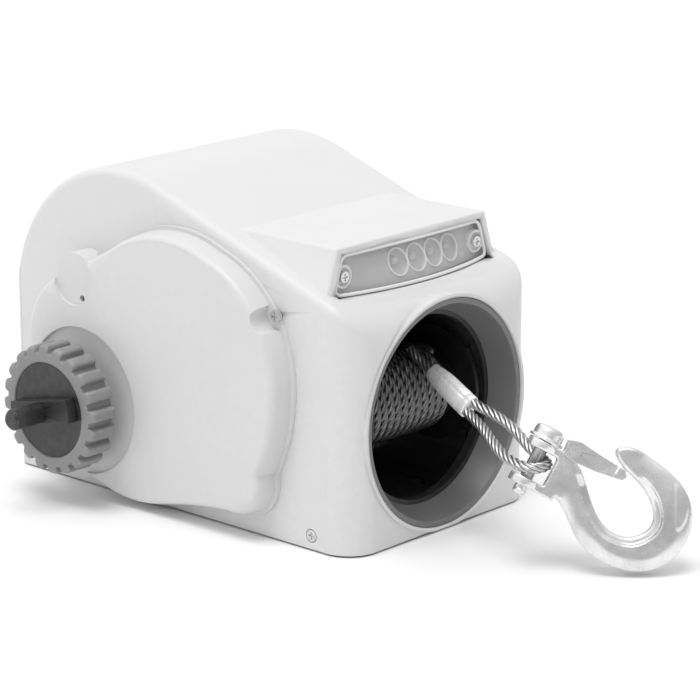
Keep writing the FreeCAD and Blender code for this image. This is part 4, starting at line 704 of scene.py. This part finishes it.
WELL_ARC = 9.0
WELL_DEEP = 5.4
LIP_ARC = 9.1
LIP_HIGH = 0.9
LIP_WIDE = 0.55
TRAY_BACK = 7.0
TRAY_THICK = 1.2 * MM
TRAY_X = [-72.5 + 0.58 * i for i in range(251)]
TRAY_Z = [176.6 + 0.6 * j for j in range(46)]
verts = []
for z in TRAY_Z:
    for x in TRAY_X:
        gap = min(math.hypot(x - lamp, z - LAMP_Z) for lamp in LAMP_X)
        well = WELL_DEEP * max(1 - (gap / WELL_ARC) ** 2.2, 0.0)
        lip = LIP_HIGH * math.exp(-(((gap - LIP_ARC) / LIP_WIDE) ** 2))
        verts.append(behind_front(x, TRAY_BACK + well - lip, z))
faces = []
for j in range(len(TRAY_Z) - 1):
    for i in range(len(TRAY_X) - 1):
        a = j * len(TRAY_X) + i
        faces.append((a, a + 1, a + 1 + len(TRAY_X), a + len(TRAY_X)))
tray = piece("lamp_tray", verts, faces, "reflector", "housing", ["light_reflector"])
thick = tray.modifiers.new("thick", "SOLIDIFY")
thick.thickness = TRAY_THICK
thick.offset = -1
POST_PROFILE = [
    (-9.5, 7.0), (-9.4, 7.8), (-8.6, 8.4), (2.2, 8.4), (2.9, 8.1), (3.2, 7.5), (3.0, 6.8), (2.3, 6.4),
    (1.0, 6.1), (0.4, 5.6), (0.2, 4.8), (0.2, 0.4),
]
DOME_PROFILE = [(-3.0, 3.3), (-2.2, 3.4), (0.0, 3.3), (1.4, 2.9), (2.4, 2.1), (3.0, 1.1), (3.2, 0.2)]
for k, x in enumerate(POST_X):
    lathe("screw_post_%d" % k, POST_PROFILE, facing_front(x, POST_BACK, POST_Z), "lamp_white", "housing")
for k, x in enumerate(LAMP_X):
    stands_for = ["led_lamps"] if k == 0 else []
    place = facing_front(x, DOME_BACK, LAMP_Z)
    lathe("lamp_dome_%d" % k, DOME_PROFILE, place, "reflector", "housing", stands_for)

RIM_LOW = 176.9
RIM_HIGH = 203.4
RIM_CORNER = 5.0
RIM_INSET = 8.0
RIM_BACK = 1.5
RIM_HALF = 1.3 * MM
END_STEPS = 40
RUN_STEPS = 80


def rim_end(side):
    """The rounded end of the lens rim, from its low to its high corner; side is 1 or -1."""
    line = []
    for k in range(END_STEPS + 1):
        z = RIM_LOW + (RIM_HIGH - RIM_LOW) * (0.5 - 0.5 * math.cos(math.pi * k / END_STEPS))
        half = hood_half(z) - RIM_INSET
        to_corner = min(z - RIM_LOW, RIM_HIGH - z)
        if to_corner < RIM_CORNER:
            half -= RIM_CORNER - math.sqrt(RIM_CORNER**2 - (RIM_CORNER - to_corner) ** 2)
        line.append(behind_front(side * half, RIM_BACK, z))
    return line


def rim_run(a, b):
    """The bowed run of the rim from point a to point b, ends left out."""
    xs = [(a.x + (b.x - a.x) * k / RUN_STEPS) / MM for k in range(1, RUN_STEPS)]
    return [behind_front(x, RIM_BACK, a.z / MM) for x in xs]


right_end = rim_end(1)
left_end = rim_end(-1)
top_run = rim_run(right_end[-1], left_end[-1])
low_run = rim_run(left_end[0], right_end[0])
rim_line = right_end + top_run + left_end[::-1] + low_run
verts, faces = swept(rim_line + rim_line[:1], round_section(RIM_HALF, 12), caps=False)
piece("lens_rim", verts, faces, "lamp_white", "housing")
# a bright white ring round each well: a painted highlight on the well's rim
RING_STEPS = 48
RING_BACK = 6.4
RING_HALF = 0.75 * MM
for k, lamp in enumerate(LAMP_X):
    ring_line = []
    for step in range(RING_STEPS + 1):
        angle = 2 * math.pi * step / RING_STEPS
        x = lamp + LIP_ARC * math.cos(angle)
        ring_line.append(behind_front(x, RING_BACK, LAMP_Z + LIP_ARC * math.sin(angle)))
    verts, faces = swept(ring_line, round_section(RING_HALF, 10), caps=False)
    piece("lamp_highlight_ring_%d" % k, verts, faces, "lamp_white", "housing")

# Broken edges on the CAD solids; on the shell only the outer corners of the light hood
shell = NODES["housing_shell"].data


FRONT_NEAR = 0.6
TOP_NEAR = 0.3
SIDE_NEAR = 0.4


def on_hood_corner(ends):
    """Whether an edge, given by its ends in millimetres, lies where two outer faces of the hood meet."""
    low = HOOD_TOP - HOOD_RISE + 1
    front = all(abs(p.y - HOOD_FRONT) < FRONT_NEAR and p.z > low for p in ends)
    top = all(p.z > HOOD_TOP - TOP_NEAR for p in ends)
    one_side = ends[0].x * ends[1].x > 0
    side = one_side and all(abs(abs(p.x) - hood_half(p.z)) < SIDE_NEAR for p in ends)
    return (front and top) or (front and side) or (top and side)


weights = shell.attributes.new("bevel_weight_edge", "FLOAT", "EDGE")
for edge in shell.edges:
    if on_hood_corner([shell.vertices[i].co / MM for i in edge.vertices]):
        weights.data[edge.index].value = 1
# the CAD meshes come split along their face borders
JOINED = 0.002 * MM
# node, width in millimetres, segments
BROKEN_EDGES = [
    ("housing_shell", 1.5, 4), ("gear_cover", 0.8, 3), ("crank_dog", 0.9, 3), ("crank_shaft", 1.1, 3),
    ("hook_latch", 0.5, 2), ("mouth_bezel", 0.8, 3), ("light_lens", 0.7, 2), ("power_inlet", 0.5, 2),
    ("remote_socket", 0.5, 2), ("breaker_body", 0.5, 2), ("breaker_button", 0.6, 2), ("switch_frame", 0.5, 2),
    ("light_switch", 0.5, 2), ("base_plate", 0.6, 2), ("rear_cover", 0.6, 2),
]
for name, width, segments in BROKEN_EDGES:
    node = NODES[name]
    node.modifiers.new("joined", "WELD").merge_threshold = JOINED
    edge = node.modifiers.new("edges", "BEVEL")
    edge.width = width * MM
    edge.segments = segments
    edge.limit_method = "WEIGHT" if name == "housing_shell" else "ANGLE"
    edge.angle_limit = math.radians(40)
    edge.use_clamp_overlap = name != "housing_shell"
    node.modifiers.new("flats", "WEIGHTED_NORMAL").weight = 80

# Studio: a sky that brightens upwards, tilted to the back, one wide soft light, and a paper floor
SKY_LOW = 0.36
SKY_MIDDLE = 0.74
SKY_TOP = 1.05
MIDDLE_AT = 0.35
SKY_TILT = math.radians(22)
world = bpy.data.worlds.new("studio")
scene.world = world
world.use_nodes = True
tree = world.node_tree
where = tree.nodes.new("ShaderNodeTexCoord")
tilt = tree.nodes.new("ShaderNodeMapping")
tilt.inputs["Rotation"].default_value = (SKY_TILT, 0, 0)
split = tree.nodes.new("ShaderNodeSeparateXYZ")
sky = tree.nodes.new("ShaderNodeValToRGB")
stops = sky.color_ramp.elements
stops[0].color = (*grey(SKY_LOW), 1)
stops[1].color = (*grey(SKY_TOP), 1)
stops.new(MIDDLE_AT).color = (*grey(SKY_MIDDLE), 1)
tree.links.new(where.outputs["Generated"], tilt.inputs["Vector"])
tree.links.new(tilt.outputs["Vector"], split.inputs[0])
tree.links.new(split.outputs["Z"], sky.inputs["Fac"])
tree.links.new(sky.outputs["Color"], tree.nodes["Background"].inputs[0])

LIGHT_AT = Vector((-0.4, -0.1, 1.6))
LIGHT_AIM = Vector((0, 0, 0.1))
light_data = bpy.data.lights.new("overhead", "SUN")
light_data.energy = 1.35
light_data.angle = math.radians(30)
light = bpy.data.objects.new("overhead", light_data)
scene.collection.objects.link(light)
light.location = LIGHT_AT
light.rotation_mode = "QUATERNION"
light.rotation_quaternion = (LIGHT_AIM - LIGHT_AT).to_track_quat("-Z", "Y")

bpy.ops.mesh.primitive_plane_add(size=24, location=(0, 0, 0))
floor = bpy.context.object
floor.name = "floor"
mat, tree, shader = new_material("floor_paper")
tree.links.new(blend_colours(tree, noise(tree, 1.5), grey(0.90), grey(0.92)), shader.inputs["Base Color"])
shader.inputs["Roughness"].default_value = 0.9
floor.data.materials.append(mat)
